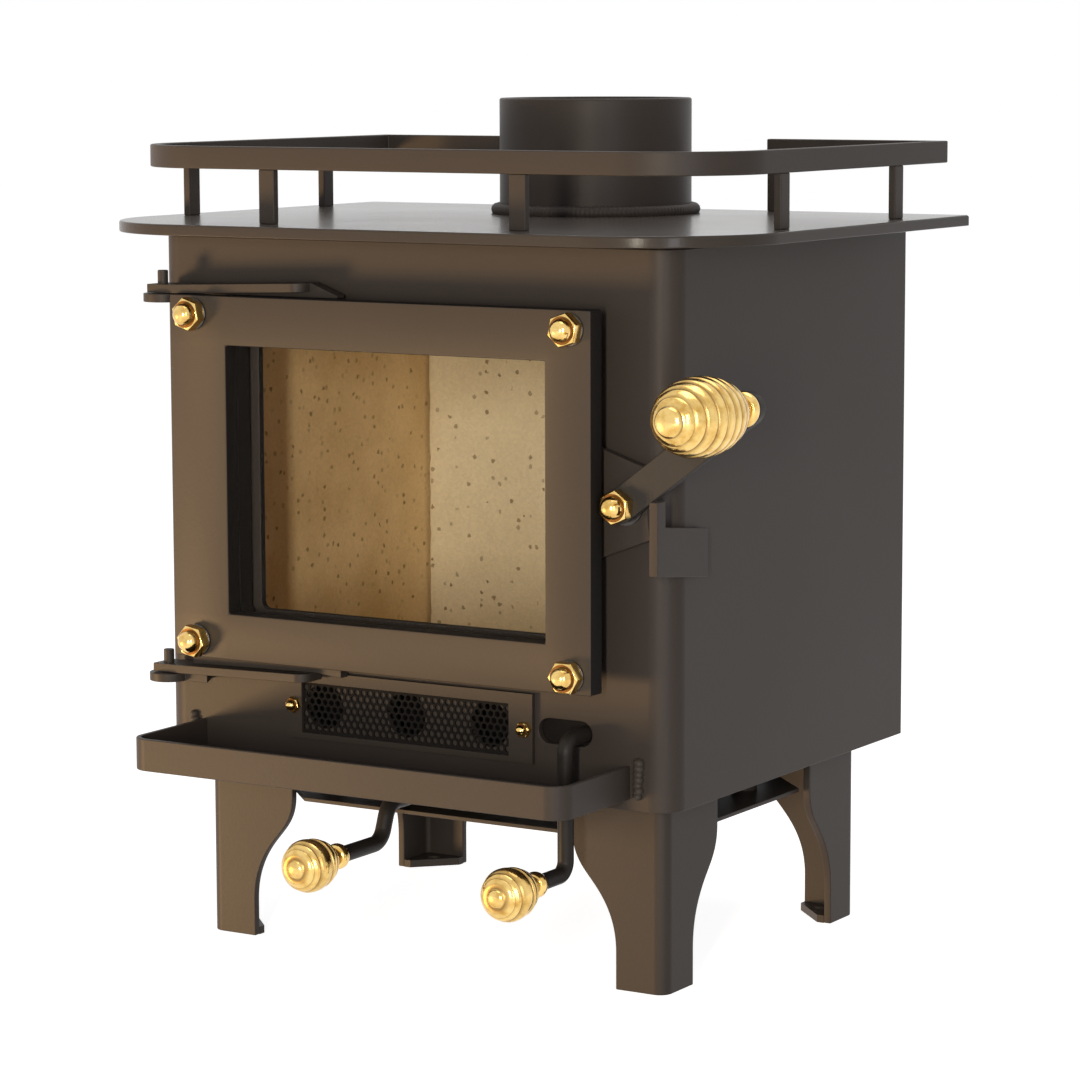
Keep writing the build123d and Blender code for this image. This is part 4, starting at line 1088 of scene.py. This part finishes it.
# %% Lip weld
lip_low, lip_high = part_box("ash_lip")
seam_out = 3.4 * mm
seam_up = 1.5 * mm
seam_y = lip_high.y - 0.4 * mm
bm = bmesh.new()
for seam_x in (lip_low.x - seam_out, lip_high.x + seam_out):
    seam_start = (seam_x, seam_y, lip_low.z + seam_up)
    seam_end = (seam_x, seam_y, lip_high.z + seam_up)
    for index, spot in enumerate(straight_bead(seam_start, seam_end, pitch=2.0)):
        wander = noise.noise(Vector((index * 1.7, seam_x * 90, 0.3)))
        drop_place = spot + Vector((wander * mm, 0.0, 0.0))
        drops(bm, [drop_place], radius=2.1 + 0.6 * wander, squash=0.8)
add_piece(bm, "lip_beads", stove_paint, "stove", (), smooth_angle=60)
print("lip seams:", 2)

# %% [markdown]
# ## Door rope
# The seal is a round rope of black glass fibre, laid in its channel and pressed oval by
# the body. It is made of six strands that turn round the middle line of the channel.
# Each strand is a closed curve with a round bevel, made a mesh at the end.


# %% Path of the rope
def round_corner_path(middle, half_width, half_height, corner, step):
    """Places, outward directions and distances along a rectangle with round corners."""
    straight_x = half_width - corner
    straight_z = half_height - corner
    arc = pi / 2 * corner
    sides = (
        ("line", Vector((straight_x, half_height)), Vector((-1, 0)), 2 * straight_x, 90),
        ("arc", Vector((-straight_x, straight_z)), None, arc, 90),
        ("line", Vector((-half_width, straight_z)), Vector((0, -1)), 2 * straight_z, 180),
        ("arc", Vector((-straight_x, -straight_z)), None, arc, 180),
        ("line", Vector((-straight_x, -half_height)), Vector((1, 0)), 2 * straight_x, 270),
        ("arc", Vector((straight_x, -straight_z)), None, arc, 270),
        ("line", Vector((half_width, -straight_z)), Vector((0, 1)), 2 * straight_z, 0),
        ("arc", Vector((straight_x, straight_z)), None, arc, 0),
    )
    path = []
    travelled = 0.0
    for kind, start, direction, length, heading in sides:
        count = max(1, round(length / step))
        for part in range(count):
            share = part / count
            angle = radians(heading + (90 * share if kind == "arc" else 0))
            outward = Vector((cos(angle), sin(angle)))
            if kind == "arc":
                point = start + corner * outward
            else:
                point = start + direction * length * share
            path.append((middle + point, outward, travelled + length * share))
        travelled += length
    return path, travelled


rope_low, rope_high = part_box("door_rope")
rope_width = 6.6 * mm
rope_corner = 10.0 * mm
rope_depth = rope_high.y - rope_low.y
rope_middle = Vector(((rope_low.x + rope_high.x) / 2, (rope_low.z + rope_high.z) / 2))
rope_path, rope_length = round_corner_path(
    rope_middle,
    (rope_high.x - rope_low.x - rope_width) / 2,
    (rope_high.z - rope_low.z - rope_width) / 2,
    rope_corner,
    step=1.6 * mm,
)
print("rope length in mm:", round(rope_length / mm), "points:", len(rope_path))

# %% Braided rope
strands = 6
strand_radius = 1.5 * mm
lay_length = 16.0 * mm
twists = round(rope_length / lay_length)
rope_curve = bpy.data.curves.new("rope_curve", "CURVE")
rope_curve.dimensions = "3D"
rope_curve.bevel_depth = strand_radius
rope_curve.bevel_resolution = 2
for strand in range(strands):
    spline = rope_curve.splines.new("POLY")
    spline.points.add(len(rope_path) - 1)
    spline.use_cyclic_u = True
    for point, (place, outward, along) in zip(spline.points, rope_path):
        turn = 2 * pi * (strand / strands + twists * along / rope_length)
        across = (rope_width / 2 - strand_radius) * cos(turn)
        deep = (rope_depth / 2 - strand_radius) * sin(turn)
        spot = place + outward * across
        point.co = (spot.x, (rope_low.y + rope_high.y) / 2 + deep, spot.y, 1.0)
rope_source = bpy.data.objects.new("rope_source", rope_curve)
scene.collection.objects.link(rope_source)
bpy.context.view_layer.update()
evaluated_rope = rope_source.evaluated_get(bpy.context.evaluated_depsgraph_get())
rope_mesh = bpy.data.meshes.new_from_object(evaluated_rope)
bpy.data.objects.remove(rope_source)
bpy.data.curves.remove(rope_curve)
bm = bmesh.new()
bm.from_mesh(rope_mesh)
bpy.data.meshes.remove(rope_mesh)
bmesh.ops.recalc_face_normals(bm, faces=bm.faces)
add_piece(bm, "rope_braid", rope_weave, "door", ("door_rope",), smooth_angle=70)
print("strands:", strands, "twists:", twists)

# %% [markdown]
# ## Glass tape
# The pane is bedded on a flat woven tape. It is pressed thin, so its edges are round.
# The weave in its finish does the rest.

# %% Tape behind the glass
bm = merged_copy("glass_gasket")
round_edges(bm, sharp_edges(bm, 40), 0.3)
tape = add_piece(bm, "glass_tape", tape_weave, "door", ("glass_gasket",))
print("tape faces:", len(tape.data.polygons))

# %% [markdown]
# ## Fire boards
# Pressed board crumbles a little at its edges. Each board is a block whose faces are
# divided finely; the edges are worn round, and noise bites small chips out of them. The
# board at the back has a little slack at its sides, which shows as a dark joint.


# %% Boards with worn edges
def worn_board(board_node, material, slack):
    """A board in place of its CAD solid, with chipped edges and slack at its left and right."""
    worn_width = 0.9
    long_edge = 5.0 * mm
    chip_zone = 1.2 * mm
    chip_depth = 1.1 * mm
    chip_scale = 260.0
    sound_part = 0.15
    low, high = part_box(board_node)
    middle = (low + high) / 2
    half = (high - low) / 2 - Vector((slack * mm, 0.0, 0.0))
    bm = bmesh.new()
    bmesh.ops.create_cube(
        bm, size=2.0, matrix=Matrix.Translation(middle) @ Matrix.Diagonal((*half, 1.0))
    )
    round_edges(bm, bm.edges[:], worn_width)
    long_edges = [e for e in bm.edges if e.calc_length() > long_edge]
    bmesh.ops.subdivide_edges(bm, edges=long_edges, cuts=40, use_grid_fill=True)
    for vert in bm.verts:
        gaps = sorted(half[axis] - abs(vert.co[axis] - middle[axis]) for axis in range(3))
        if gaps[1] < chip_zone:
            bite = max(0.0, noise.noise(vert.co * chip_scale) - sound_part) * chip_depth
            vert.co += (middle - vert.co).normalized() * bite
    add_piece(
        bm,
        board_node + "_worn",
        material,
        "stove",
        (board_node,),
        smooth_angle=50,
    )


worn_board("brick_left", shaded_side_board, slack=0.0)
worn_board("brick_right", shaded_side_board, slack=0.0)
worn_board("brick_back", fire_board, slack=0.8)
print("worn boards:", 3)

# %% [markdown]
# ## Plain carried-over pieces
# Pieces that are mostly hidden keep their CAD solids and only take a finish.

# %% Finishes for the other CAD nodes
carried = {
    "floor_plate": soot_and_shade_paint,
    # The door's back frame takes the dark paint as painted shade.
    "door_back_frame": soot_and_shade_paint,
    "air_box": soot_and_shade_paint,
    "front_guides": bare_steel,
    "floor_guides": bare_steel,
    "shield_spacers": stove_paint,
    "air_mesh": soot_and_shade_paint,
    "front_slider": soot_and_shade_paint,
    "floor_slider": soot_and_shade_paint,
    "shield_bolts": bare_steel,
    "air_studs": bare_steel,
    "door_studs": bare_steel,
    "latch_stud": bare_steel,
    "latch_washer": bare_steel,
    "knob_screw": bare_steel,
    "front_rod": rod_paint,
    "floor_rod": rod_paint,
    "hearth_brick": fire_board,
    "baffle": fire_board,
    "grate": cast_finish,
    "door_glass": stove_glass,
}
for carried_name, finish in carried.items():
    mesh = frame["nodes"][carried_name].data
    mesh.materials.clear()
    mesh.materials.append(finish)
print("carried over:", len(carried))
